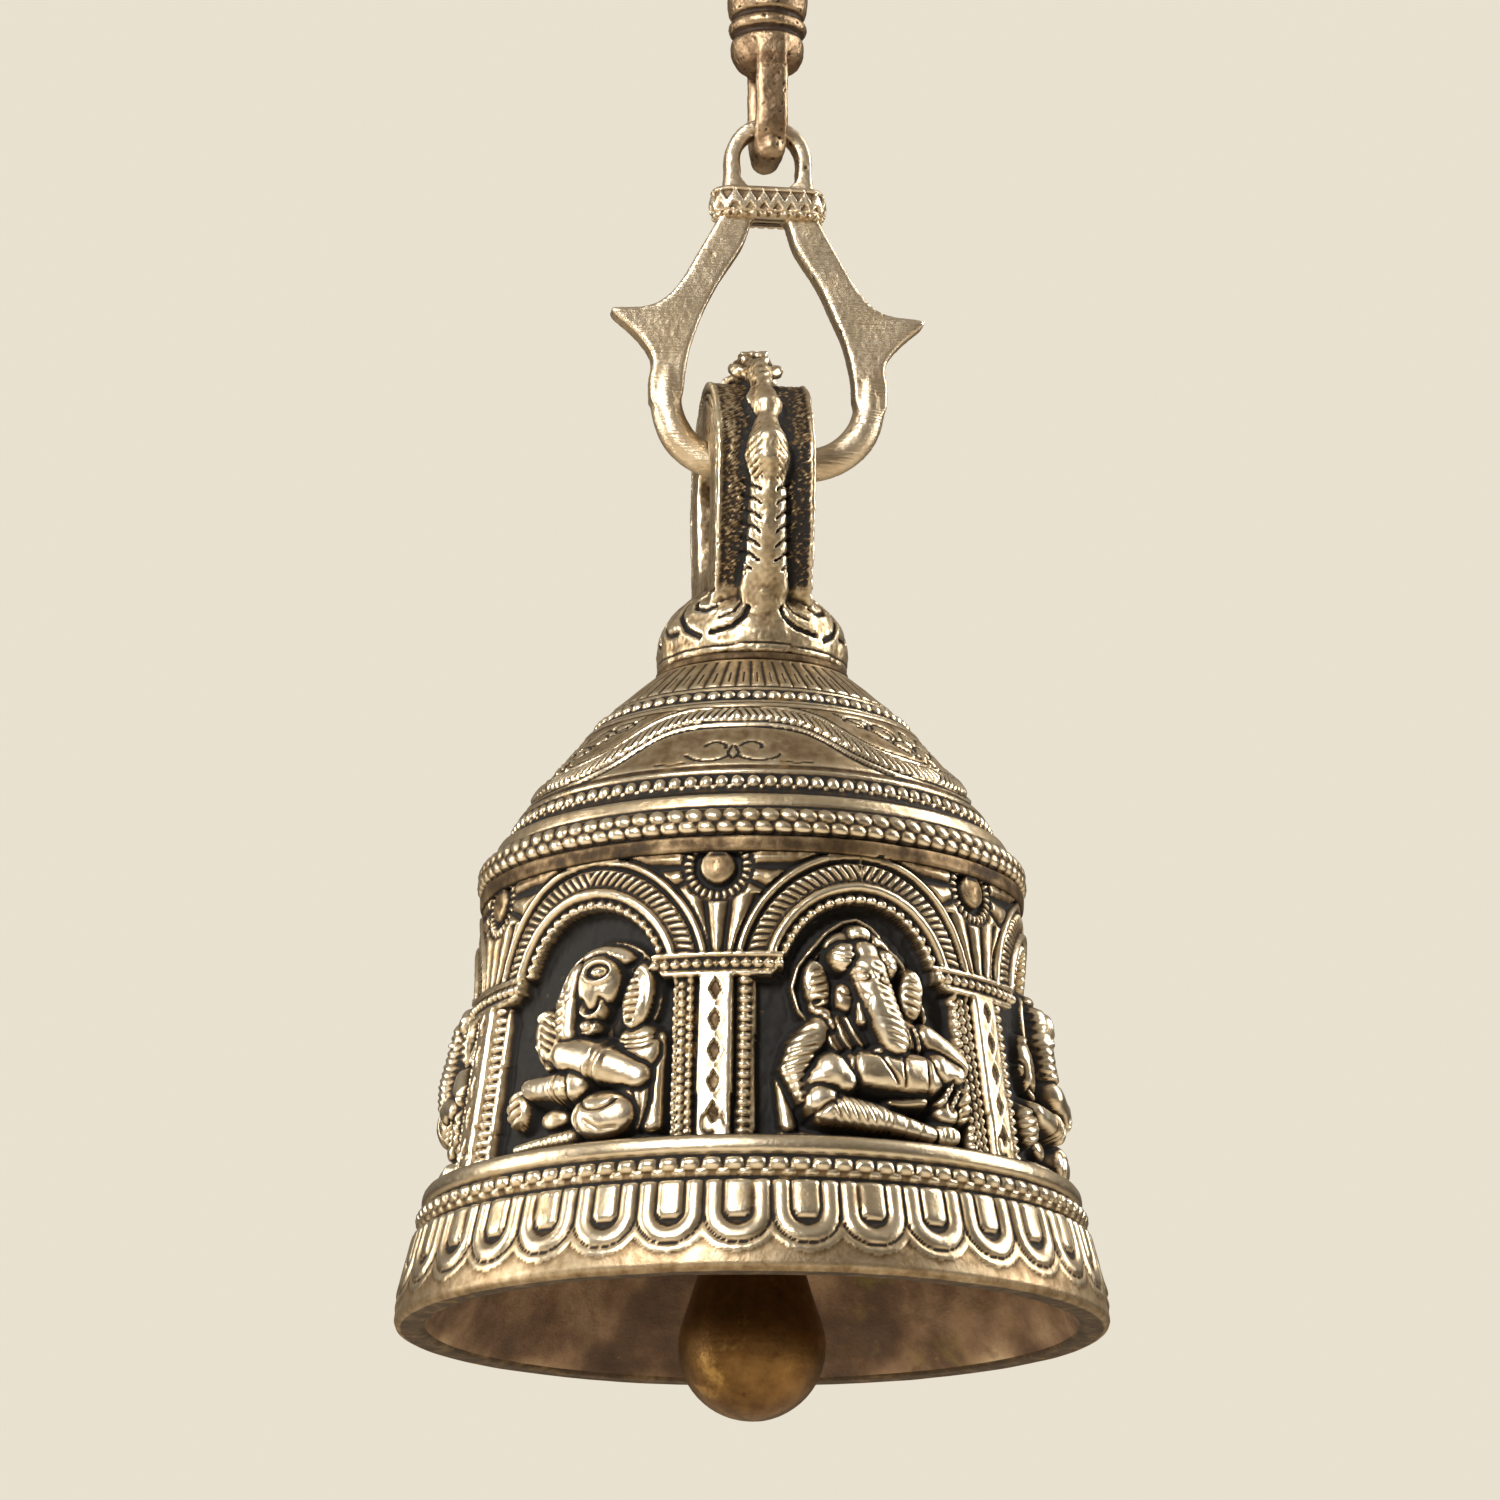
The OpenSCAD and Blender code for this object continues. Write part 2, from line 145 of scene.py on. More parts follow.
def stroke(d, w):
    """Rounded stroke of half-width w, at distance d."""
    return np.clip(1 - (d / w) ** 2, 0, 1)


def roll(d, w):
    """Half-round bump of half-width w."""
    return np.sqrt(stroke(d, w))


def pleat(x, pitch, sharp=2):
    """Folds one pitch apart: 1 along the middle of each and 0 between."""
    return (0.5 + 0.5 * np.cos(2 * PI * x / pitch)) ** sharp


def wrapped(a, period):
    return (a + period / 2) % period - period / 2


def beads(u, pitch, d, ru, rv):
    """A string of beads along u, at distance d across."""
    return np.sqrt(np.clip(1 - (wrapped(u, pitch) / ru) ** 2 - (d / rv) ** 2, 0, 1))


# ---------------------------------------------------------------- materials

def material(name, ramp, rough, metal, spots=None, bump=0.35, attr="cav", brushed=None):
    """Metal whose colour, gloss and metalness follow the depth of the relief and patchy wear."""
    m = bpy.data.materials.new(name)
    m.use_nodes = True
    t = m.node_tree
    n, l = t.nodes, t.links
    n.clear()
    out = n.new("ShaderNodeOutputMaterial")
    b = n.new("ShaderNodeBsdfPrincipled")
    l.new(b.outputs[0], out.inputs[0])
    tc = n.new("ShaderNodeTexCoord")

    def noise(s, detail=4, rough=0.55, dist=0.0):
        x = n.new("ShaderNodeTexNoise")
        x.inputs["Scale"].default_value = s
        x.inputs["Detail"].default_value = detail
        x.inputs["Roughness"].default_value = rough
        x.inputs["Distortion"].default_value = dist
        l.new(tc.outputs["Object"], x.inputs["Vector"])
        return x.outputs["Fac"]

    def maths(op, a, c, clamp=False):
        x = n.new("ShaderNodeMath")
        x.operation = op
        x.use_clamp = clamp
        for k, v in enumerate((a, c)):
            if isinstance(v, (int, float)):
                x.inputs[k].default_value = v
            else:
                l.new(v, x.inputs[k])
        return x.outputs[0]

    def mixed(fac, a, c):
        x = n.new("ShaderNodeMix")
        x.data_type = "RGBA"
        l.new(fac, x.inputs[0])
        for k, v in ((6, a), (7, c)):
            if isinstance(v, tuple):
                x.inputs[k].default_value = v
            else:
                l.new(v, x.inputs[k])
        return x.outputs[2]

    def ramped(fac, stops):
        """Ramp with stops of (place, linear grey) or (place, red, green, blue)."""
        x = n.new("ShaderNodeValToRGB")
        l.new(fac, x.inputs[0])
        e = x.color_ramp.elements
        while len(e) < len(stops):
            e.new(0.5)
        for k, (p, *c) in enumerate(stops):
            e[k].position = p
            e[k].color = lin(*c) if len(c) == 3 else (c[0], c[0], c[0], 1)
        return x.outputs[0]

    if attr:
        at = n.new("ShaderNodeAttribute")
        at.attribute_name = attr
        cav = at.outputs["Fac"]
    else:
        cav = noise(150, 3)
    big, mid, fine = noise(70, 5), noise(330, 6, 0.6), noise(1500, 4, 0.7)
    shift = maths("MULTIPLY", maths("SUBTRACT", mid, 0.5), 0.42)
    lvl = maths("ADD", cav, shift, True)
    col = ramped(lvl, ramp)
    tint = ramped(big, [(0.30, 206, 188, 160), (0.5, 248, 244, 236), (0.72, 228, 216, 186)])
    x = n.new("ShaderNodeMix")
    x.data_type, x.blend_type = "RGBA", "MULTIPLY"
    x.inputs[0].default_value = 0.55
    l.new(col, x.inputs[6])
    l.new(tint, x.inputs[7])
    col = x.outputs[2]
    if spots:
        for stop, colour, s, amt in spots:
            patch = ramped(noise(s, 5, 0.65), [(stop, 0), (stop + 0.07, 1)])
            col = mixed(maths("MULTIPLY", patch, amt), col, colour)
    l.new(col, b.inputs["Base Color"])
    gloss = maths("ADD", lvl, maths("MULTIPLY", maths("SUBTRACT", fine, 0.5), 0.5), True)
    r = ramped(gloss, [(0.1, rough[0]), (0.8, rough[1])])
    l.new(r, b.inputs["Roughness"])
    l.new(ramped(lvl, [(0.12, metal[0]), (0.45, metal[1])]), b.inputs["Metallic"])
    h = maths("ADD", maths("MULTIPLY", fine, 0.5), maths("MULTIPLY", mid, 0.9))
    if brushed:
        w = n.new("ShaderNodeTexNoise")
        mp = n.new("ShaderNodeMapping")
        mp.inputs["Scale"].default_value = brushed
        l.new(tc.outputs["Object"], mp.inputs["Vector"])
        l.new(mp.outputs[0], w.inputs["Vector"])
        w.inputs["Scale"].default_value = 1.0
        w.inputs["Detail"].default_value = 3
        h = maths("ADD", h, maths("MULTIPLY", w.outputs["Fac"], 1.4))
    bp = n.new("ShaderNodeBump")
    bp.inputs["Strength"].default_value = bump
    bp.inputs["Distance"].default_value = 0.0004
    l.new(h, bp.inputs["Height"])
    l.new(bp.outputs[0], b.inputs["Normal"])
    return m


RAMP = [(0.0, 8, 7, 6), (0.26, 24, 20, 17), (0.39, 80, 64, 46), (0.53, 146, 127, 100),
        (0.70, 203, 188, 161), (1.0, 240, 231, 212)]
bell_mat = material("antique_brass", RAMP, (0.8, 0.29), (0.0, 1.0),
                    [(0.62, lin(182, 148, 88), 120, 0.35), (0.66, lin(100, 75, 50), 210, 0.45)])
inside_mat = material("inside_bronze", [(0.0, 44, 35, 30), (0.35, 104, 82, 66), (0.6, 152, 126, 102),
                                        (0.8, 182, 158, 130), (1.0, 206, 186, 158)], (0.8, 0.5),
                      (0.1, 0.5), [(0.62, lin(140, 126, 66), 60, 0.4), (0.60, lin(96, 66, 54), 90, 0.55),
                                   (0.68, lin(186, 160, 84), 260, 0.45)], bump=0.9)
satin_mat = material("satin_brass", [(0.0, 34, 28, 24), (0.3, 112, 96, 78), (0.5, 200, 184, 158),
                                     (0.75, 224, 211, 190), (1.0, 244, 236, 220)], (0.55, 0.33), (0.5, 1.0),
                     [(0.67, lin(150, 116, 74), 160, 0.4)], bump=0.4, brushed=(60, 60, 2600))
link_mat = material("worn_brass", [(0.0, 26, 20, 17), (0.3, 78, 60, 46), (0.5, 128, 106, 84),
                                   (0.75, 176, 156, 130), (1.0, 216, 202, 180)], (0.6, 0.34), (0.35, 1.0),
                    [(0.58, lin(120, 84, 50), 120, 0.5)], bump=0.5)
bob_mat = material("clapper_brass", [(0.0, 20, 15, 12), (0.3, 62, 44, 26), (0.5, 98, 72, 42),
                                     (0.75, 140, 108, 66), (1.0, 196, 170, 122)], (0.6, 0.34), (0.4, 0.95),
                   [(0.57, lin(70, 46, 24), 45, 0.6), (0.60, lin(196, 160, 96), 70, 0.5)], bump=0.35)
iron_mat = material("dark_iron", [(0.0, 20, 15, 12), (0.5, 62, 48, 36), (1.0, 110, 92, 72)],
                    (0.8, 0.5), (0.3, 0.8), bump=0.6, attr=None)

# ---------------------------------------------------------------- the bell's relief

NICHES, TURN = 6, math.radians(-15)
PETALS = 33


def place(th, r, z, nr, nz, h):
    """Grid of points from angle, profile and height along the normal."""
    R = r[None, :] + h * nr[None, :]
    Z = z[None, :] + h * nz[None, :]
    return np.stack([R * np.sin(th)[:, None], -R * np.cos(th)[:, None], Z], -1)


def cavity(h, cell, small, large, a, b):
    """1 on raised parts and 0 in recesses, from the height against its surroundings: patina and painted
    shade.
    """
    s = h - blur(h, small / cell[0], small / cell[1])
    g = h - blur(h, large / cell[0], large / cell[1])
    return np.clip(0.55 + a * np.clip(s, -0.5, 0.3) + 1.6 * b * np.clip(g, -1.5, 1.0), 0, 1)


def circle_u(th, r):
    return th[:, None] * r[None, :]


# --- skirt: lip, petals, braid and ridge
skirt_n, skirt_step = 1030, 0.42         # angles around, and mm between points along the profile
th = turn(skirt_n)
s, r, z, nr, nz = polyline([(59.3, 0.7), (59.8, 0.15), (60.4, 0), (64.1, 0), (64.7, 0.4), (65, 1.3),
                            (64.6, 4), (63.3, 8), (62.1, 12.5), (61.0, 16.7), (60.3, 17.0), (60.2, 18.9),
                            (60.2, 20.8), (59.4, 21.1), (59.3, 22.8), (59.1, 24.5), (58.6, 25.0),
                            (57.6, 25.2), (51.5, 25.2)], skirt_step)
cell = (2 * PI * 60 / skirt_n, skirt_step)
Z = z[None, :] + 0 * th[:, None]
u = wrapped(th[:, None] - math.radians(-10.2), 2 * PI / PETALS) * 62.3
edge = s[None, :] > 6.2
wob = noise2((skirt_n, len(s)), 9, 9, 1)
h = np.zeros_like(Z)
zo = np.minimum(Z - 10.7, 0)
d = np.sqrt(u ** 2 + zo ** 2) * (1 + 0.015 * wob)
zt = np.minimum(Z - 11.9, 0)
dt = (np.abs(u) ** 3 + np.abs(zt) ** 3) ** (1 / 3) * (1 + 0.02 * wob)
pet = (Z < 16.75) & (Z > 1.6) & edge
ph = np.where(d < 5.75, 0.85 * roll(d - 4.2, 1.62), 0.0)
ph = np.where(dt < 2.72, -0.42, ph)
ph = np.where(dt < 2.38, 0.85 * roll(dt, 2.5) ** 0.6, ph)
ph = np.where((d > 5.75) & (d < 6.0), -0.28, ph)
ph = np.where((d >= 6.0) & (d < 7.4) & (Z < 9), 0.34 * roll(d - 6.7, 0.9), ph)
h = np.where(pet, ph, h)
h = np.where((Z > 16.45) & (Z < 17.2) & edge, -0.4, h)
n_braid = 99
ub = circle_u(th, np.full_like(r, 60.4))
pb = 2 * PI * 60.4 / n_braid
braid = 0.42 * roll(Z - 18.95, 1.9)
braid = np.maximum(braid, 0.25 + 0.95 * beads(ub + 0.7 * wob, pb, Z - 19.55, 2.0, 1.25))
braid = np.maximum(braid, 0.1 + 0.85 * beads(ub + pb / 2, pb, Z - 17.85, 1.25, 0.85))
notch = np.clip(1 - np.abs(wrapped(ub + pb / 2, pb)) / 0.55 - np.maximum(19.5 - Z, 0) / 0.9, 0, 1)
h = np.where((Z >= 17.05) & (Z < 20.75) & edge, braid - 0.9 * notch, h)
h = np.where((Z >= 20.7) & (Z < 21.25) & edge, -0.35, h)
ridge = 0.95 * roll(Z - 22.95, 1.75) ** 0.8 + 0.16 * wob
h = np.where((Z >= 21.2) & (Z < 24.75) & edge & (r[None, :] > 58.7), ridge, h)
h += 0.07 * noise2(h.shape, 3, 3, 2) + 0.05 * wob + 0.16 * wob * (s[None, :] < 7)
h *= smooth01(s, 0, 0.8)[None, :]
hs = blur(h, 0.7, 0.7)
# painted shade on the lip's underside and on the ledge at the foot of the niches
lip_painted_shade = np.where(s[None, :] < 4.9, -0.17, 0.0) + np.where((Z > 24.9), -0.12, 0.0)
# the petal zone is painted a little lighter: a painted highlight for light from below
cav = cavity(h, cell, 0.9, 3.0, 0.95, 0.10) + lip_painted_shade + 0.06 * (Z < 16) * edge
skirt = grid_piece("bell_skirt", place(th, r, z, nr, nz, hs), True, np.clip(cav, 0, 1), bell_mat)

# --- niche zone: figures in relief


def turned(U, V, c, rot):
    """Distances from a centre, along axes turned by rot degrees."""
    k = math.radians(rot)
    x = (U - c[0]) * math.cos(k) + (V - c[1]) * math.sin(k)
    y = -(U - c[0]) * math.sin(k) + (V - c[1]) * math.cos(k)
    return x, y


def oval(U, V, c, ru, rv, rot=0.0):
    """0 at the centre of an ellipse, 1 on its outline and more outside."""
    x, y = turned(U, V, c, rot)
    return np.sqrt((x / ru) ** 2 + (y / rv) ** 2)


def swell(q, size, depth, lift, steep):
    """Height of a rounded swelling where q is under 1, with steep sides beyond."""
    return depth + lift * np.sqrt(np.clip(1 - q ** 2, 0, 1)) - steep * size * np.clip(q - 1, 0, None)


def egg(U, V, c, ru, rv, depth, lift, rot=0.0, steep=2.4):
    """Height of an egg-shaped swelling."""
    return swell(oval(U, V, c, ru, rv, rot), min(ru, rv), depth, lift, steep)


def pad(U, V, c, a, b, depth, lift, rot=0.0, steep=2.4):
    """Height of a round-edged pad."""
    x, y = turned(U, V, c, rot)
    q = (np.abs(x / a) ** 3.4 + np.abs(y / b) ** 2.6) ** 0.33
    return swell(q, min(a, b), depth, lift, steep)


def highest(*hs):
    """The greatest of several heights at each point."""
    return np.maximum.reduce(hs)


def limb(U, V, points, flat=1.0, rib=0.0, pitch=1.3, steep=2.4):
    """Height of a round limb through points of (u, z, depth, radius)."""
    parts = []
    for (u0, z0, d0, r0), (u1, z1, d1, r1) in zip(points, points[1:]):
        du, dz = u1 - u0, z1 - z0
        L = math.hypot(du, dz)
        t = np.clip(((U - u0) * du + (V - z0) * dz) / L ** 2, 0, 1)
        dist = np.hypot(U - u0 - t * du, V - z0 - t * dz)
        rr = r0 + (r1 - r0) * t
        part = d0 + (d1 - d0) * t + flat * np.sqrt(np.clip(rr ** 2 - dist ** 2, 0, None))
        part = part - steep * np.clip(dist - rr, 0, None)
        parts.append(part + rib * np.cos(2 * PI * t * L / pitch) * stroke(dist, rr))
    return highest(*parts)


def line(U, V, pts, w, deep):
    """An engraved or raised line through points."""
    best = np.full(U.shape, 1e9)
    p = np.asarray(pts, float)
    for a, b in zip(p[:-1], p[1:]):
        dv = b - a
        t = np.clip(((U - a[0]) * dv[0] + (V - a[1]) * dv[1]) / (dv @ dv + 1e-9), 0, 1)
        best = np.minimum(best, np.hypot(U - a[0] - t * dv[0], V - a[1] - t * dv[1]))
    return deep * stroke(best, w)


def ring(U, V, c, ru, rv, w, deep, a0=-180, a1=180, rot=0.0):
    """Raised or engraved part of an ellipse's outline, from angle a0 to a1."""
    x, y = turned(U, V, c, rot)
    off_line = np.abs(oval(U, V, c, ru, rv, rot) - 1) * (ru + rv) / 2
    ang = np.degrees(np.arctan2(y, x))
    return np.where((ang >= a0) & (ang <= a1), deep * stroke(off_line, w), 0)


def carve(layers, deep=0.75, width=0.75):
    """The highest layer shows, with a groove cut where two layers meet."""
    L = np.stack(layers)
    k = L.argmax(0)
    e = np.zeros(k.shape)
    e[1:] += k[1:] != k[:-1]
    e[:, 1:] += k[:, 1:] != k[:, :-1]
    e = blur(np.clip(e, 0, 1), width, width, False)
    return L.max(0) - deep * np.clip(e * 2.4, 0, 1)


def forms(U, V):
    """The form functions, set to one grid."""
    return [partial(f, U, V) for f in (limb, egg, line, ring, oval)]


def figure_front(U, V):
    """Seated elephant-headed figure that faces out."""
    limb, egg, line, ring, oval = forms(U, V)
    hood = egg((-0.8, 51.6), 12.8, 14.0, 1.0, 0.9, steep=1.4)
    hood += 0.16 * np.cos(np.arctan2(V - 50, U + 0.8) * 40) * (oval((-0.8, 51.6), 12.4, 13.6) > 0.72)
    rim = line([(-10.4, 45.6), (-12.8, 48.6), (-13.7, 52.6), (-12.4, 56.4), (-9.6, 60.0), (-6.6, 63.2),
                (-3.6, 65.2), (-1.0, 65.9), (1.6, 64.8), (4.4, 62.2), (8.0, 58.2), (11.0, 53.8),
                (12.2, 49.0), (11.8, 46)], 0.75, 3.3)
    rim2 = line([(-9.6, 57.4), (-6.4, 61.4), (-3.2, 63.8), (-0.8, 64.4), (1.8, 63), (5.2, 59.4),
                 (8.6, 55)], 0.4, 0.55)
    hood = np.maximum(hood + rim2, np.where(rim > 0, rim - 0.1, -9))
    band_ = egg((-0.9, 60.6), 6.6, 3.2, 2.6, 1.3) + 0.35 * beads(U, 1.25, V - 60.2 + 0.05 * U ** 2, 0.6, 0.5)
    jewel = egg((-1.1, 62.8), 2.3, 1.8, 3.4, 1.6) + ring((-1.1, 62.8), 1.4, 0.9, 0.3, -0.5)
    temple_l = egg((-3.9, 58.2), 3.0, 2.9, 4.2, 2.1)
    temple_r = egg((2.9, 57.6), 2.7, 2.7, 4.2, 2.0)
    for k in range(3):
        temple_l += ring((-3.7, 60.6 - 1.5 * k), 3.0, 1.3, 0.36, -0.55, -170, -10)
        temple_r += ring((3.0, 60.0 - 1.5 * k), 2.6, 1.2, 0.32, -0.5, -170, -10)
    ax = np.interp(V, [40, 42.6, 45.6, 49.4, 53.5, 57, 62], [3.3, 3.4, 2.6, 1.0, -0.2, -0.6, -0.8])
    lat = U - ax
    trunk = limb([(-0.7, 59.0, 4.6, 2.6), (-0.4, 55.6, 5.2, 3.5), (1.0, 49.4, 6.0, 3.3),
                  (2.6, 45.6, 6.4, 3.0), (3.4, 42.9, 6.3, 2.7)], 0.75)
    trunk = (trunk - 0.5 * pleat(V + 0.32 * lat, 1.42) * smooth01(lat, -0.3 - 2.2 * (V < 47.5), 0.5)
             * ((V > 41.5) & (V < 57)))
    trunk = trunk + ring((1.9, 54.2), 1.15, 1.05, 0.32, -0.55) + ring((1.9, 54.2), 0.35, 0.35, 0.4, 0.3)
    trunk += ring((-2.4, 54.4), 1.5, 0.8, 0.34, -0.7)
    trunk += line([(-4.4, 56.2), (-2.6, 56.6), (-0.9, 55.4)], 0.32, -0.45)
    trunk += line([(-2.6, 51.6), (-1.2, 50.6), (-1.6, 48.4)], 0.3, -0.4)
    tip = limb([(3.0, 41.6, 5.8, 1.7), (0.0, 40.7, 5.4, 1.0)], 0.9)
    tusk = limb([(-1.9, 49.6, 4.9, 1.5), (-2.1, 46.6, 5.3, 1.1)])
    cheek = egg((-4.4, 50.8), 2.4, 3.0, 3.6, 1.7) + ring((-4.2, 52.2), 1.3, 1.0, 0.32, -0.5, -180, 60)
    ear_l = egg((-9.2, 52.6), 2.5, 5.1, 2.6, 2.0, 5)
    ear_l += 0.42 * np.cos((V - 0.3 * U) * 2 * PI / 1.45) * (oval((-9.0, 52.4), 1.6, 4.2) < 1)
    ear_l += ring((-9.3, 52.7), 2.2, 4.7, 0.36, 0.45, 70, 180)
    ear_r = egg((8.9, 52.6), 2.6, 5.0, 2.6, 2.0, -5)
    ear_r += 0.42 * np.cos((V + 0.3 * U) * 2 * PI / 1.5) * (oval((8.8, 52.6), 1.7, 4.0) < 1)
    ear_r += ring((9.0, 52.7), 2.3, 4.6, 0.36, 0.45, 0, 110)
    drape_l = limb([(-9.4, 49.2, 2.6, 1.8), (-7.4, 45.8, 3.2, 1.8)], 0.8, 0.14, 1.2)
    chest = egg((0.8, 44.0), 11.6, 5.4, 3.0, 1.6)
    for pts in ([(-8.6, 46.2), (-7.6, 42.4), (-5.8, 39.8)], [(-6.6, 47.2), (-5.5, 43.6), (-3.4, 40.4)],
                [(-4.6, 47.2), (-3.4, 44.2), (-1.4, 41.0)], [(6.6, 47), (7.4, 44), (7.2, 41.6)],
                [(8.8, 46.4), (9.6, 43.6), (9.4, 41.6)], [(11, 45.8), (11.8, 43.4)]):
        chest = chest + line(pts, 0.42, 0.7) + line([(u - 0.75, z) for u, z in pts], 0.3, -0.4)
    arm_l = limb([(-9.4, 45.0, 3.0, 2.5), (-12.6, 40.8, 3.4, 2.9), (-14.0, 36.8, 3.6, 2.9),
                  (-12.6, 33.0, 4.2, 2.4)], 0.85)
    arm_l -= 0.5 * pleat(V - 0.30 * U, 1.5) * smooth01(-U, 9.6, 10.8)
    fore_l = highest(limb([(-12.2, 34.4, 4.2, 2.3), (-8.0, 36.6, 5.4, 3.1)], 0.85),
                     limb([(-8.0, 37.2, 5.6, 3.0), (-6.2, 35.6, 5.6, 2.4)], 0.8))
    lap = pad(U, V, (4.2, 37.9), 9.2, 3.5, 5.4, 2.2, -1)
    for pts in ([(-3.6, 41), (-3.9, 38), (-3.2, 34.8)], [(0.2, 41.2), (1.6, 38.4), (3.6, 35.6)],
                [(4.9, 40.6), (4.6, 38), (5.2, 35.0)], [(9.8, 41.2), (9.4, 37.6), (10, 34.8)]):
        lap += line(pts, 0.42, -0.7)
    lap += line([(-2, 40.6), (2, 40.9), (4.4, 39.6)], 0.35, -0.4)
    lap += line([(5.8, 40.4), (9, 40.6)], 0.3, -0.35)
    hand = limb([(3.4, 32.2, 3.6, 0.9), (9.8, 33.3, 3.8, 1.1)], 0.9)
    arm_r = limb([(11.4, 45.2, 3.0, 2.5), (15.6, 42.6, 3.4, 2.6), (19.2, 40.4, 3.4, 2.4)], 0.85)
    lap_r = limb([(12.6, 39.2, 4.8, 2.9), (17.0, 38.8, 4.2, 2.3)], 0.85)
    lap_r += line([(13.6, 41.4), (16.8, 39.8)], 0.35, -0.4)
    drape_r = egg((19.2, 35.4), 3.6, 5.4, 2.8, 2.4, -10)
    drape_r -= (0.55 * pleat(V - 0.4 * (U - 19) + 0.05 * (U - 19) ** 2, 2.1, 3)
                * (oval((19.6, 35.6), 2.8, 4.6) < 1))
    beads_r = highest(limb([(16.8, 39.2, 4.6, 0.8), (13.4, 33.2, 4.8, 0.8)], 1.2, 0.35, 1.25),
                      limb([(18.2, 37.0, 4.2, 0.7), (15.6, 32.4, 4.6, 0.7)], 1.2, 0.35, 1.25))
    cuff_r = egg((15.2, 32.0), 2.6, 2.9, 3.6, 1.6)
    shin_l = limb([(-8.8, 30.4, 4.6, 3.2), (0.4, 29.0, 5.0, 2.4)], 0.85)
    shin_l = (shin_l - 0.6 * pleat(U + 0.42 * (V - 30), 1.5) * ((U > -8.4) & (U < 0.4))
              * smooth01(33.4 - V, 0, 1.2))
    shin_l = highest(shin_l, limb([(0.4, 29.0, 5.0, 2.1), (10.8, 27.2, 4.4, 1.5)], 0.85))
    for u0 in (1.4, 2.6, 5.6, 8.6):
        shin_l += line([(u0, 31), (u0 - 0.5, 26)], 0.3, -0.5)
    knee_l = egg((-10.0, 31.8), 3.3, 3.2, 4.9, 2.6)
    foot_r = egg((14.6, 27.4), 3.4, 2.0, 4.0, 1.6, 4) - 0.5 * pleat(U, 1.25) * ((V < 28.6) & (U > 12.4))
    hip = limb([(-16.4, 36, 1.2, 1.5), (-15.8, 27.2, 1.4, 1.7)], 0.9)
    seat = limb([(-17, 25.5, 1.6, 1.1), (18, 25.5, 1.6, 1.1)], 0.9, 0.1, 2.0)
    return carve([np.full(U.shape, -3.0), hood, hip, seat, chest, drape_l, ear_l, ear_r, band_, jewel,
                  temple_l, temple_r, cheek, tusk, arm_r, lap_r, hand, drape_r, cuff_r, beads_r, arm_l,
                  lap, tip, trunk, fore_l, foot_r, shin_l, knee_l])


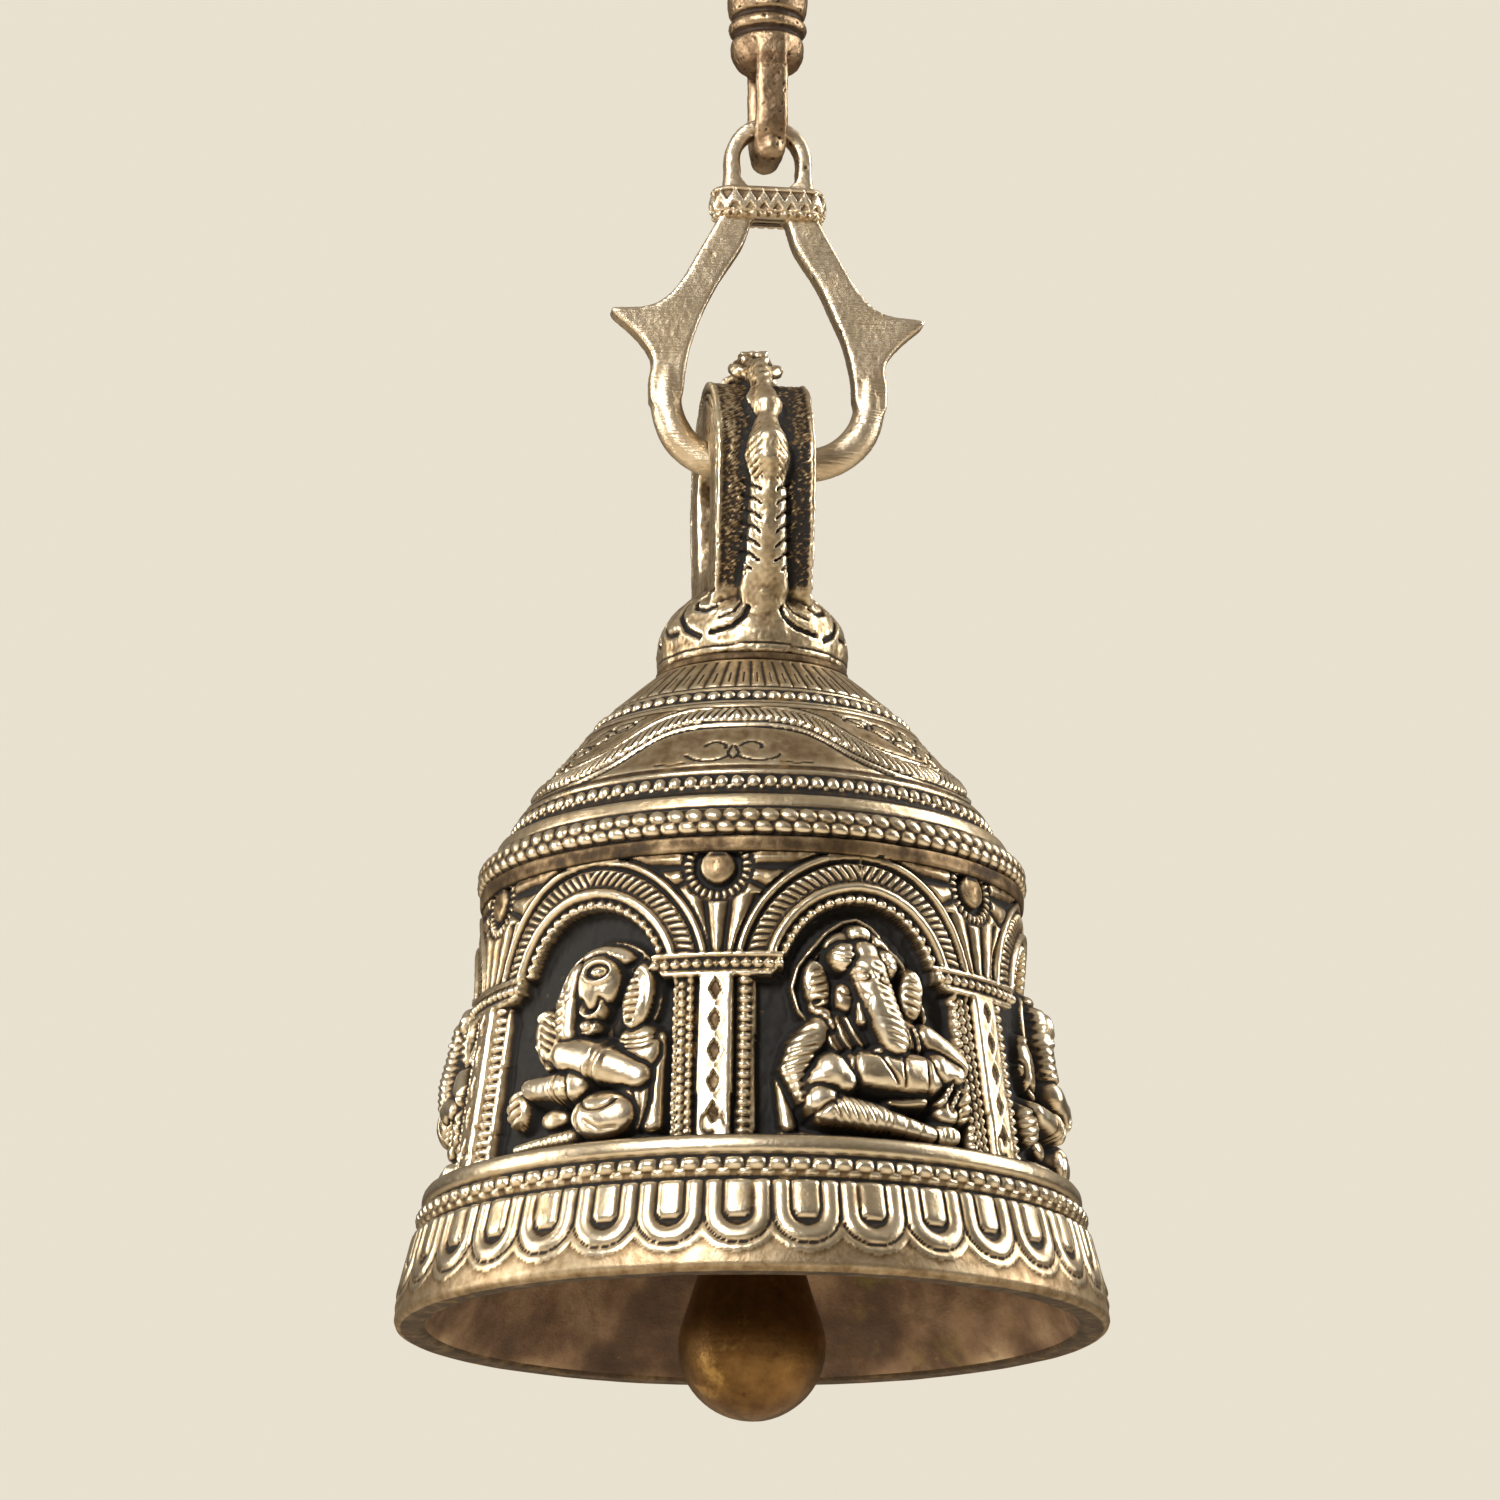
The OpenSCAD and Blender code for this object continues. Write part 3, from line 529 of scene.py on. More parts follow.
def figure_side(U, V):
    """Seated elephant-headed figure turned to the left, leaning against the pillar."""
    limb, egg, line, ring, oval = forms(U, V)
    hood = egg((5.8, 51.8), 11.2, 10.9, 1.3, 1.2, steep=1.4)
    qh = oval((5.8, 51.8), 11.2, 10.9)
    ah = np.arctan2(V - 51.8, U - 5.8)
    hood += 0.42 * np.cos(ah * 36 + 3 * qh) * ((qh > 0.66) & (qh < 0.93) & (V > 50))
    hood += 0.8 * stroke((qh - 0.965) * 11, 0.5) * (V > 47)
    hood += 0.5 * stroke((qh - 0.62) * 11, 0.4) * (V > 50)
    band_ = egg((5.8, 59.4), 5.2, 2.4, 3.0, 1.4, -4)
    band_ += 0.35 * beads(U, 1.2, V - 59.6 + 0.04 * (U - 6) ** 2, 0.55, 0.5)
    head = egg((4.8, 54.6), 5.0, 5.4, 4.2, 2.5)
    head = head + ring((6.2, 56.4), 2.5, 2.0, 0.45, 0.8) + ring((6.2, 56.3), 1.75, 1.3, 0.36, -0.8)
    head += egg((6.2, 56.3), 1.1, 0.8, 0, 0.6, steep=9).clip(0)
    head += ring((5.4, 56.6), 4.3, 3.4, 0.3, -0.5, 10, 170)
    mouth = egg((5.0, 50.0), 2.8, 2.9, 4.4, 1.6) + ring((4.9, 50.2), 2.2, 2.0, 0.45, 0.7)
    mouth -= 2.4 * stroke(np.hypot(U - 4.9, V - 50.1), 1.35)
    jaw = egg((4.2, 46.6), 2.2, 2.0, 4.6, 1.5) + ring((4.1, 46.8), 1.3, 1.1, 0.32, -0.6)
    trunk = limb([(1.6, 56.4, 4.2, 2.5), (-0.2, 51.2, 4.8, 2.6), (-0.2, 47.4, 5.0, 2.4),
                  (0.8, 44.0, 5.4, 2.1)], 0.8)
    trunk -= 0.5 * pleat(V - 0.3 * U, 1.6) * smooth01(-(U - 0.2), -0.4, 0.6)
    trunk += ring((-0.2, 52.2), 0.9, 0.8, 0.3, 0.5)
    ear = egg((13.0, 51.4), 3.0, 6.2, 3.0, 2.2, -8)
    ear -= 0.7 * pleat(V, 1.35) * ((oval((12.0, 51.6), 1.6, 5.0) < 1))
    ear += ring((12.9, 51.6), 2.7, 5.9, 0.5, 0.6, -110, 100)
    orn = egg((-7.0, 46.2), 3.4, 5.8, 1.6, 2.0, 16)
    orn -= 0.55 * pleat(V + 0.6 * U, 1.5) * (oval((-6.4, 47.2), 2.0, 4.0) < 1)
    orn += ring((-7.0, 46.2), 3.0, 5.3, 0.6, 0.7, 80, 110, 16)
    orn2 = limb([(-10.0, 45.6, 1.8, 0.8), (-6.0, 40.6, 2.2, 0.8)], 1.0)
    chest = egg((13.4, 41.2), 4.8, 5.6, 2.8, 2.0)
    for k in range(3):
        chest += ring((13.2, 45.6 - 0.9 * k), 4.2, 2.0, 0.36, -0.55, -170, -10)
    side_ = limb([(17.0, 43.6, 1.8, 1.8), (17.4, 28.4, 2.0, 2.2)], 0.9)
    side_ += line([(16.4, 44), (16.6, 36), (16, 29)], 0.35, -0.5)
    hip = egg((13.6, 33.2), 3.8, 6.2, 3.0, 2.0) + line([(12.4, 38), (14.4, 33), (13.6, 28)], 0.4, -0.6)
    hip += line([(14.8, 37.6), (15.8, 32), (15, 28)], 0.3, -0.4)
    low = limb([(1.0, 36.2, 4.8, 2.35), (-9.4, 37.2, 3.4, 1.9)], 0.85)
    low = low + 0.55 * (np.abs(U + 1.7) < 0.42) + 0.55 * (np.abs(U + 0.5) < 0.3)
    low = low - 0.5 * (np.abs(U + 1.05) < 0.22) - 0.5 * (np.abs(U + 2.4) < 0.2)
    elbow = egg((3.0, 36.4), 2.9, 3.0, 5.0, 2.1)
    palm = egg((-13.2, 34.2), 3.4, 3.9, 2.2, 2.3) - 0.75 * pleat(V - 0.35 * U, 1.85) * (U < -11.4)
    up = limb([(0.8, 42.0, 5.0, 3.3), (7.2, 39.8, 6.0, 3.2), (14.4, 36.8, 4.0, 2.7)], 0.8)
    tb_ = (U - 0.8) * 0.94 - (V - 42) * 0.34
    up = up + 0.6 * stroke(tb_ - 6.1, 0.42) + 0.6 * stroke(tb_ - 8.3, 0.42)
    up -= 0.45 * (np.abs(tb_ - 7.2) < 0.55)
    robe = egg((8.6, 30.2), 6.4, 4.4, 4.4, 2.8)
    robe += ring((8.2, 33.4), 3.6, 2.6, 0.42, -0.8, -170, -10)
    robe += line([(4.6, 33), (3.6, 29.6), (4.6, 26.6)], 0.4, -0.6)
    robe += line([(6.2, 29.2), (8.8, 27.4), (12, 27.6)], 0.36, -0.5)
    knee = egg((-4.0, 31.2), 3.4, 2.0, 1.8, 1.2)
    shin = limb([(2.0, 27.0, 3.2, 1.5), (-12.6, 26.4, 2.6, 1.2)], 0.9, 0.35, 1.3)
    seat = limb([(-16, 25.5, 1.6, 1.1), (18, 25.5, 1.6, 1.1)], 0.9, 0.1, 2.0)
    return carve([np.full(U.shape, -3.0), hood, orn2, orn, side_, chest, seat, knee, shin, band_, ear, hip,
                  palm, head, jaw, mouth, trunk, robe, low, elbow, up])


niche_n, niche_step = 1200, 0.30
th2 = turn(niche_n)
zz = np.arange(25.1, 77.75, niche_step)
rb = 51.6 - (zz - 25) * 0.11
rf = np.where(zz < 56, 55.9 - (zz - 25) * 0.152, 51.2 - (zz - 56) * 0.085)
D = (rf - rb)[None, :] + 0 * th2[:, None]
sector = np.floor(((th2 - TURN) % (2 * PI)) / (PI / 3)).astype(int)
phi = ((th2 - TURN) % (PI / 3)) - PI / 6
U = phi[:, None] * rf[None, :]
V = zz[None, :] + 0 * U
half = (PI / 6) * rf[None, :]
v = half - np.abs(U)
side = np.sign(U)
wob = noise2(U.shape, 8, 8, 3)
fine = noise2(U.shape, 1.6, 1.6, 4)
# every other arch was cut a little to one side
off_ = np.where(sector % 2 == 1, 1.6, 0.0)[:, None]
Ua = U - off_
rho = np.hypot(Ua * 0.985, (V - 52.7) * 0.925) * (1 + 0.008 * wob)
ang = np.arctan2(V - 52.7, np.abs(Ua))
# back wall and the seated figures
wall = 0.30 * wob + 0.30 * fine + 0.25 * noise2(U.shape, 3.2, 3.2, 21)
figs = np.full(U.shape, -9.0)
for k in range(NICHES):
    m = sector == k
    figs[m] = (figure_front if k % 2 == 0 else figure_side)(U[m], V[m])
inner = highest(wall, np.minimum(figs, 8.6))
# pillars
panel = D + 0.95 + 0.1 * wob - 0.35 * smooth01(v, 2.4, 3.1)
loz_z = wrapped(V - 29.4, 5.7)
loz = np.abs(U - side * half) / 1.15 + np.abs(loz_z) / 2.15
loz = np.where((V > 27) & (V < 54.5), loz, 9)
panel = panel - 0.5 * (loz < 1) + 0.16 * ((loz >= 1) & (loz < 1.35))
curl = ring(v * side, V, (0.6, 27.4), 1.3, 1.9, 0.35, -0.5, -120, 120)
curl += ring(v * side, V, (-1.2, 27.2), 1.0, 1.6, 0.35, -0.5, 30, 180)
panel += curl
single = D - 0.95 + 1.55 * beads(V + 0.3 * wob, 1.74, v - 5.0, 0.92, 1.5)
single = np.maximum(single, D - 1.5 + 0.5 * roll(v - 6.9, 0.4))
double = highest(beads(V, 1.75, v - 4.6, 0.92, 0.85), beads(V + 0.87, 1.75, v - 6.1, 0.92, 0.85),
                 0.85 * beads(V, 1.75, v - 7.4, 0.8, 0.7))
double = D - 0.85 + 1.2 * double
pil = np.where(v < 3.15, panel, np.where(v < 3.75, D - 2.2, np.where(side > 0, double, single)))
pil_edge = np.where(side > 0, 8.1, 7.2) + 0.3 * wob + 0.15 * fine
capz = D + 0.25 + 0.7 * roll(V - 55.1, 0.75)
capz = np.maximum(capz, D + 0.25 + 0.75 * roll(V - 58.7, 0.65))
capz = np.maximum(capz, D + 0.15 + 1.15 * beads(U + 0.2 * wob, 1.95, V - 56.95, 1.0, 0.95))
cap_edge = 12.0 - 1.1 * np.abs(V - 56.9) * (V < 56)
# arches
hatch = -0.75 * pleat(ang * 20.0 * 1.03 + 0.55 * (rho - 20.3), 1.42, 2.5)
rib = 0.75 * roll(rho - 20.3, 1.57) ** 0.6 + hatch * (np.abs(rho - 20.3) < 1.3)
arch = highest(D - 1.5, D - 0.9 + 1.35 * beads(ang * 15.75, 1.9, rho - 15.75, 0.98, 0.95))
for radius, reach_, height in ((17.75, 0.95, D - 0.4 + 1.35 * roll(rho - 17.75, 0.95)),
                               (20.3, 1.55, D - 0.25 + rib),
                               (23.1, 0.7, D - 0.4 + 1.2 * roll(rho - 23.1, 0.7))):
    arch = np.maximum(arch, np.where(np.abs(rho - radius) < reach_, height, -9))
# spandrel: flutes that fan from a boss under the flange
bx, bz = v * side, V - 75.0
rb_ = np.hypot(bx, bz)
ab = np.arctan2(bx, -bz)
fl = D - 0.75 + 1.25 * np.abs(np.cos(ab * 7.0)) ** 0.7
ticks = D - 0.9 + 1.2 * np.abs(np.cos(ab * 13)) ** 0.9
lower = D - 0.8 + 1.35 * np.abs(np.cos(PI * bx / np.clip(1.15 + 0.11 * (V - 58), 0.6, 9) / 1.9)) ** 0.7
sp = np.where(V < 70, lower, fl)
sp = np.where(rb_ < 6.6, D - 0.25, sp)
sp = np.where(rb_ < 6.0, ticks, sp)
sp = np.where(rb_ < 4.4, D - 1.3, sp)
sp = np.where(rb_ < 3.1, D - 0.3 + 1.1 * roll(rb_, 3.2) + ring(bx, bz, (0, 0), 1.7, 1.7, 0.4, -0.5), sp)
# pillars below, their capitals, and the arches with the spandrels on top
top = np.where(rho < 14.85, inner, np.where(rho < 24.2, arch, sp))
low_part = np.where(v < pil_edge, pil, inner)
hN = np.where((V > 58.6) & (rho >= 14.85), arch, inner)
hN = np.where(v < cap_edge, capz, hN)
hN = np.where(V < 59.3, hN, top)
hN = np.where(V < 54.6, low_part, hN)
# the boss overlaps the arches
hN = np.where((rb_ < 3.2) & (V > 71), np.maximum(hN, D - 0.3 + 1.1 * roll(rb_, 3.3)), hN)
hN = np.where((V > 76.9), np.minimum(hN, D + 0.3), hN)
hN = np.minimum(hN, 10.0) + 0.13 * fine + 0.10 * wob
soft = blur(hN, 0.55, 0.55)
cellN = (2 * PI * 52.5 / niche_n, niche_step)
d1 = hN - blur(hN, 0.7 / cellN[0], 0.7 / cellN[1])
d2 = hN - blur(hN, 2.6 / cellN[0], 2.6 / cellN[1])
gu, gv = np.gradient(blur(hN, 0.5, 0.5), cellN[0], cellN[1])
slope = np.hypot(gu, gv)
grime = noise2(U.shape, 9, 9, 22)
speck = noise2(U.shape, 1.0, 1.0, 23)
# darker in recesses (patina in the hollows and painted shade) and on steep sides (painted shade outlining the
# figures)
cavN = 0.50 + 0.95 * np.clip(d1, -0.6, 0.35) + 0.19 * np.clip(d2, -2.5, 1.6) + 0.03 * np.clip(hN - D, -5, 2.5)
cavN = cavN - 0.26 * smooth01(slope, 0.9, 2.8) - 0.12 * (V > 72) * (hN < D) + 0.07 * grime
cavN = cavN - 0.10 * smooth01(V, 66, 76) * (hN < D + 0.8) - 0.16 * (rb_ < 3.3) * (V > 71)
cavN = np.where(hN < 1.6, 0.06 + 0.05 * grime + 0.42 * smooth01(speck, 0.95, 1.5), cavN)
cavN = np.where((loz < 1) & (v < 3.15) & (V < 54.5), 0.42, cavN)
cavN = np.clip(cavN, 0, 1)
R = rb[None, :] + soft
PN = np.stack([R * np.sin(th2)[:, None], -R * np.cos(th2)[:, None], V], -1)
off = int(round((TURN % (2 * PI)) / (2 * PI) * niche_n))
PN, cavN = np.roll(PN, -off, 0), np.roll(cavN, -off, 0)
for k in range(3):
    i = np.arange(k * niche_n // 3, (k + 1) * niche_n // 3 + 1) % niche_n
    grid_piece(f"bell_niches_{k + 1}", PN[i], False, cavN[i], bell_mat)

# --- shoulder: flange, rope band, ring and first bead row
shoulder_n, shoulder_step = 1056, 0.31
th3 = turn(shoulder_n)
s, r, z, nr, nz = polyline([(47.6, 77.7), (49.6, 77.7), (50.0, 78.0), (50.0, 80.3), (49.4, 80.7),
                            (49.4, 81.2), (49.9, 82.0), (49.7, 84.0), (49.0, 85.6), (48.0, 86.3),
                            (47.4, 87.0), (46.8, 88.8), (45.9, 89.5), (45.0, 90.2), (43.4, 93.7),
                            (42.7, 94.6)], shoulder_step)
Z = z[None, :] + 0 * th3[:, None]
wob = noise2(Z.shape, 8, 8, 5)
fine = noise2(Z.shape, 1.6, 1.6, 6)
n1 = 92
u1 = th3[:, None] * 49.6
p1 = 2 * PI * 49.6 / n1
zc = Z - 83.2
rope = 0.25 * roll(zc, 2.5)
rope = np.maximum(rope, 0.15 + 0.85 * beads(u1 + 0.25 * zc + 0.3 * wob, p1, zc - 0.95, 1.75, 1.35))
rope = np.maximum(rope, 0.1 + 0.85 * beads(u1 + p1 / 2 + 0.25 * zc, p1, zc + 1.15, 1.75, 1.3))
h = np.where((Z > 80.9) & (Z < 85.9), rope, 0.0)
h = np.where((Z > 80.35) & (Z <= 80.95), -0.5, h)
h = np.where((Z > 77.8) & (Z <= 80.4) & (r[None, :] > 49),
             0.22 + 0.3 * wob - 0.5 * (wob > 0.42) * (fine > 0), h)
h = np.where((Z > 85.8) & (Z <= 86.5), -0.45, h)
h = np.where((Z > 86.5) & (Z <= 89.2), 0.42 * roll(Z - 87.85, 1.6) - 0.35 * (np.abs(Z - 88.9) < 0.2)
             + 0.14 * wob, h)
h = np.where((Z > 89.2) & (Z <= 90.1), -0.45, h)
n2 = 96
u2 = th3[:, None] * 44.3
p2 = 2 * PI * 44.3 / n2
row = -0.35 + 1.0 * beads(u2 + 0.3 * wob, p2, (Z - 92.0) / 0.92, 1.28, 1.35)
row = np.maximum(row, -0.35 + 0.6 * beads(u2 + p2 / 2, p2, (Z - 91.0) / 0.9, 0.5, 0.45))
h = np.where((Z > 90.1) & (Z <= 93.5), row, h)
h = np.where(Z > 93.5, -0.1 + 0.5 * roll(Z - 94.0, 0.55), h)
h += 0.07 * fine + 0.05 * wob
h = h * smooth01(s, 0, 0.6)[None, :]
cell = (2 * PI * 48 / shoulder_n, shoulder_step)
cav = cavity(h, cell, 0.85, 3.0, 1.25, 0.12) - 0.05 - 0.2 * (s[None, :] < 2.2)
cav = cav + (0.09 * wob - 0.13) * (Z < 80.4) + 0.05 * wob - 0.05 * ((Z > 86.5) & (Z < 89.2))
grid_piece("bell_shoulder", place(th3, r, z, nr, nz, blur(h, 0.6, 0.6)), True, np.clip(cav, 0, 1), bell_mat)

# --- dome: scroll band, second bead row, flutes
dome_n, dome_step = 810, 0.33
th4 = turn(dome_n)
s, r, z, nr, nz = polyline([(42.9, 94.4), (42.2, 95.3), (38.4, 100.9), (34.0, 106.4), (31.4, 109.3),
                            (30.9, 109.9), (27.2, 114.1), (26.2, 114.9), (25.0, 115.9), (22.2, 118.4),
                            (19.2, 120.9), (18.4, 121.6), (17.6, 121.9)], dome_step)
T = th4[:, None] + 0 * s[None, :]
S = s[None, :] + 0 * T
Rr = r[None, :] + 0 * T
sz = np.interp([95.3, 109.3, 109.9, 114.1, 115.9, 120.9], z, s)
wob = noise2(S.shape, 7, 7, 8)
fine = noise2(S.shape, 1.5, 1.5, 9)
t0 = math.radians(-12.8)
band = (S - sz[0])                      # mm up the slope from the band's foot
bw = sz[1] - sz[0]
ph3 = 3 * (T - t0)
mid = bw * 0.50
steep = 1.7                             # how sharply the vine turns between crest and trough
bent = np.tanh(steep * np.cos(ph3))
rise = bw * 0.33 / math.tanh(steep)
path = mid + rise * bent + 0.3 * wob
slope = -rise * steep * (1 - bent ** 2) * 3 * np.sin(ph3) / Rr
q = (band - path) / np.sqrt(1 + slope ** 2)      # distance across the vine
along = (T - t0) * 37.0
vine = 0.35 + 0.35 * roll(q, 1.75)
vine += 0.34 * np.cos(2 * PI * (along + 0.55 * q * np.sign(np.sin(ph3))) / 1.5) * (np.abs(q) < 1.35)
hD = np.where(np.abs(q) < 1.75, vine, 0.12)
for o, w, dpt in ((-2.1, 0.36, -0.75), (2.1, 0.38, -0.75), (-3.6, 0.34, -0.65), (3.4, 0.28, -0.5)):
    hD += dpt * stroke(q - o, w)
hD = hD + 0.28 * roll(q + 2.8, 0.62) + 0.2 * roll(q - 2.7, 0.5)
# engraved curls under each crest, and scrolls over each trough
X = wrapped(T - t0, 2 * PI / 3) * Rr
for sg in (-1, 1):
    hD += ring(X, band, (sg * 4.6, 4.0), 4.2, 2.5, 0.32, -0.5, -172, -12)
    hD += ring(X, band, (sg * 3.2, 5.2), 1.9, 1.2, 0.3, -0.45, -20, 175)
    hD += line(X, band, [(sg * 0.2, 2.2), (sg * 1.0, 3.6), (sg * 0.3, 5.4)], 0.3, -0.45)
    hD += line(X, band, [(sg * 8.6, 1.3), (sg * 11.6, 0.9), (sg * 14.6, 1.3)], 0.22, -0.3)
X2 = wrapped(T - t0 + PI / 3, 2 * PI / 3) * Rr
for sg in (-1, 1):
    for cx, cy, a, b_ in ((7.2, 13.0, 3.6, 2.2), (3.0, 10.2, 3.0, 1.8), (11.6, 14.6, 3.0, 1.5)):
        hD += ring(X2, band, (sg * cx, cy), a, b_, 0.32, -0.55, -30, 180)
        hD += ring(X2, band, (sg * cx, cy - 0.4), a * 0.55, b_ * 0.6, 0.28, -0.45, -160, 60)
    hD = (hD + line(X2, band, [(sg * 1.2, 8.4), (sg * 5.5, 9.8), (sg * 10, 13.2), (sg * 15.5, 16.6)], 0.3,
                    -0.5))
    hD += ring(X2, band, (sg * 1.6, 6.6), 1.9, 2.1, 0.45, 0.45, -150, 170)
hD += ring(X2, band, (0, 12.8), 1.6, 2.4, 0.3, -0.5)
hD -= 0.35 * np.clip(1 - np.hypot(X2, band - 12.8) / 0.7, 0, 1)
inband = (band > 0.4) & (band < bw - 0.35)
h = np.where(inband, hD, -0.15)
h = np.where((S > sz[1] - 0.5) & (S < sz[2] + 0.05), 0.35 * roll(S - (sz[1] + sz[2]) / 2, 0.6), h)
n5 = 66
mid5 = (sz[2] + sz[3]) / 2
p5 = 2 * PI / n5
d5 = S - mid5
row = -0.3 + 0.95 * np.sqrt(np.clip(1 - (wrapped(T, p5) * Rr / 1.32) ** 2 - (d5 / 1.15) ** 2, 0, 1))
row = np.maximum(row, -0.3 + 0.55 * roll(np.abs(d5) - 2.1, 0.45))
h = np.where((S >= sz[2]) & (S < sz[3]), row, h)
h = np.where((S >= sz[3]) & (S < sz[3] + 0.5), -0.4, h)
nf = 58
fl = wrapped(T + 0.02 * np.sin(T * 5), 2 * PI / nf) * Rr
w5 = 2 * PI * Rr / nf / 2
lenf = (S - sz[3] - 0.5)
tongue = 0.42 * roll(fl, w5 * 0.96) - 0.15
tongue -= 0.4 * stroke(fl, 0.17) * (lenf > 1.2) * (lenf < 5)
h = np.where((S >= sz[3] + 0.5) & (S < sz[5]), tongue, h)
h = np.where(S >= sz[5], 0.25 * roll(S - sz[5] - 0.5, 0.5), h)
h += 0.06 * fine + 0.05 * wob
cell = (2 * PI * 34 / dome_n, dome_step)
cav = cavity(h, cell, 0.8, 2.6, 1.9, 0.14) - 0.01
grid_piece("bell_dome", place(th4, r, z, nr, nz, blur(h, 0.6, 0.6)), True, np.clip(cav, 0, 1), bell_mat)

# --- inside wall and ceiling
inside_n, inside_step = 400, 1.0
th5 = turn(inside_n)
s, r, z, nr, nz = polyline([(3.2, 117.0), (14, 117.0), (21, 112.6), (29, 104), (36.4, 94), (41.2, 84),
                            (43.6, 72), (45.4, 56), (47.6, 38), (50.4, 22), (54.6, 9), (58.4, 2),
                            (59.3, 0.7)], inside_step)
h = -0.35 * np.abs(noise2((inside_n, len(s)), 2, 2, 11)) + 0.25 * noise2((inside_n, len(s)), 14, 5, 12)
h *= (smooth01(s, 0, 3) * (1 - smooth01(s, s[-1] - 2.5, s[-1])))[None, :]
cav = np.clip(0.5 + 0.5 * noise2(h.shape, 3, 3, 13) + 0.35 * noise2(h.shape, 16, 12, 14) + 0.6 * h, 0, 1)
grid_piece("bell_inside", place(th5, r, z, nr, nz, h), True, cav, inside_mat)

# ---------------------------------------------------------------- sculpted pieces


def skin(rings, flip=False):
    """Closed solid through rings that have the same number of points."""
    n = len(rings[0])
    v = [p for q in rings for p in q]
    f = []
    for i in range(len(rings) - 1):
        for k in range(n):
            a, b = i * n + k, i * n + (k + 1) % n
            f.append((a, b, b + n, a + n))
    f.append(tuple(range(n))[::-1])
    f.append(tuple(range(len(v) - n, len(v))))
    return v, [q[::-1] for q in f] if flip else f


def lathe(pts, n=96):
    """Closed turned solid from (r, z) points that start and end on the axis."""
    angles = [2 * PI * k / n for k in range(n)]
    return skin([[(r_ * math.cos(a), r_ * math.sin(a), z_) for a in angles] for r_, z_ in pts])


def tube(path, radii, n=40):
    """Round bar along a path, with ball ends."""
    path = [Vector(p) for p in path]
    first, last = (path[1] - path[0]).normalized(), (path[-1] - path[-2]).normalized()
    ball = (1.5, 1.1, 0.7, 0.35)
    stops = [(path[0] - first * radii[0] * math.sin(a), radii[0] * math.cos(a), first) for a in ball]
    for k, q in enumerate(path):
        d = (path[min(k + 1, len(path) - 1)] - path[max(k - 1, 0)]).normalized()
        stops.append((q, radii[k], d))
    stops += [(path[-1] + last * radii[-1] * math.sin(a), radii[-1] * math.cos(a), last) for a in ball[::-1]]
    ref = Vector((0, 0, 1)) if abs(first.z) < 0.9 else Vector((1, 0, 0))
    angles = [2 * PI * k / n for k in range(n)]
    rings = []
    for q, r_, d in stops:
        x = (ref - d * ref.dot(d)).normalized()
        y = d.cross(x)
        ref = x
        rings.append([tuple(q + (x * math.cos(a) + y * math.sin(a)) * r_) for a in angles])
    return skin(rings)


def strap(path, section, deep, wide, flip=False):
    """Bar of one section along (p, z) points: deep across the path in its plane, wide out of the plane.

    It lies in the X-Z plane, or flipped in the Y-Z plane."""
    P = np.array(path)
    rings = []
    for k in range(len(P)):
        d = P[min(k + 1, len(P) - 1)] - P[max(k - 1, 0)]
        d = d / np.hypot(*d)
        across = np.array([-d[1], d[0]])
        points = [(P[k] + across * a * deep / 2, b * wide / 2) for a, b in section]
        rings.append([(w, *q) if flip else (q[0], w, q[1]) for q, w in points])
    return skin(rings, flip)


def slab(outline, t):
    """Flat plate from an outline in X and Z, t thick along Y."""
    n = len(outline)
    v = [(a, y, b) for y in (-t / 2, t / 2) for a, b in outline]
    f = [tuple(range(n)), tuple(range(2 * n - 1, n - 1, -1))]
    f += [(k, (k + 1) % n, (k + 1) % n + n, k + n)[::-1] for k in range(n)]
    return v, f


def relax(co, e, k, f=0.5):
    """Neighbour averaging, k times."""
    n = len(co)
    deg = np.maximum(np.bincount(e.ravel(), minlength=n), 1)[:, None]
    for _ in range(k):
        a = np.stack([np.bincount(e[:, 0], co[e[:, 1], i], n) + np.bincount(e[:, 1], co[e[:, 0], i], n)
                      for i in range(3)], 1)
        co = co + f * (a / deg - co)
    return co


def waves(P, size, seed, n=36):
    """Smooth noise in space, about -1 to 1, with lumps of the given size."""
    g = np.random.default_rng(seed)
    k = g.normal(size=(n, 3))
    k = k / np.linalg.norm(k, axis=1)[:, None] * (2 * PI / size) * g.uniform(0.6, 1.5, (n, 1))
    o = np.zeros(len(P))
    for a, b in zip(k, g.uniform(0, 2 * PI, n)):
        o += np.sin(P @ a + b)
    return o / math.sqrt(n / 2) / 1.8


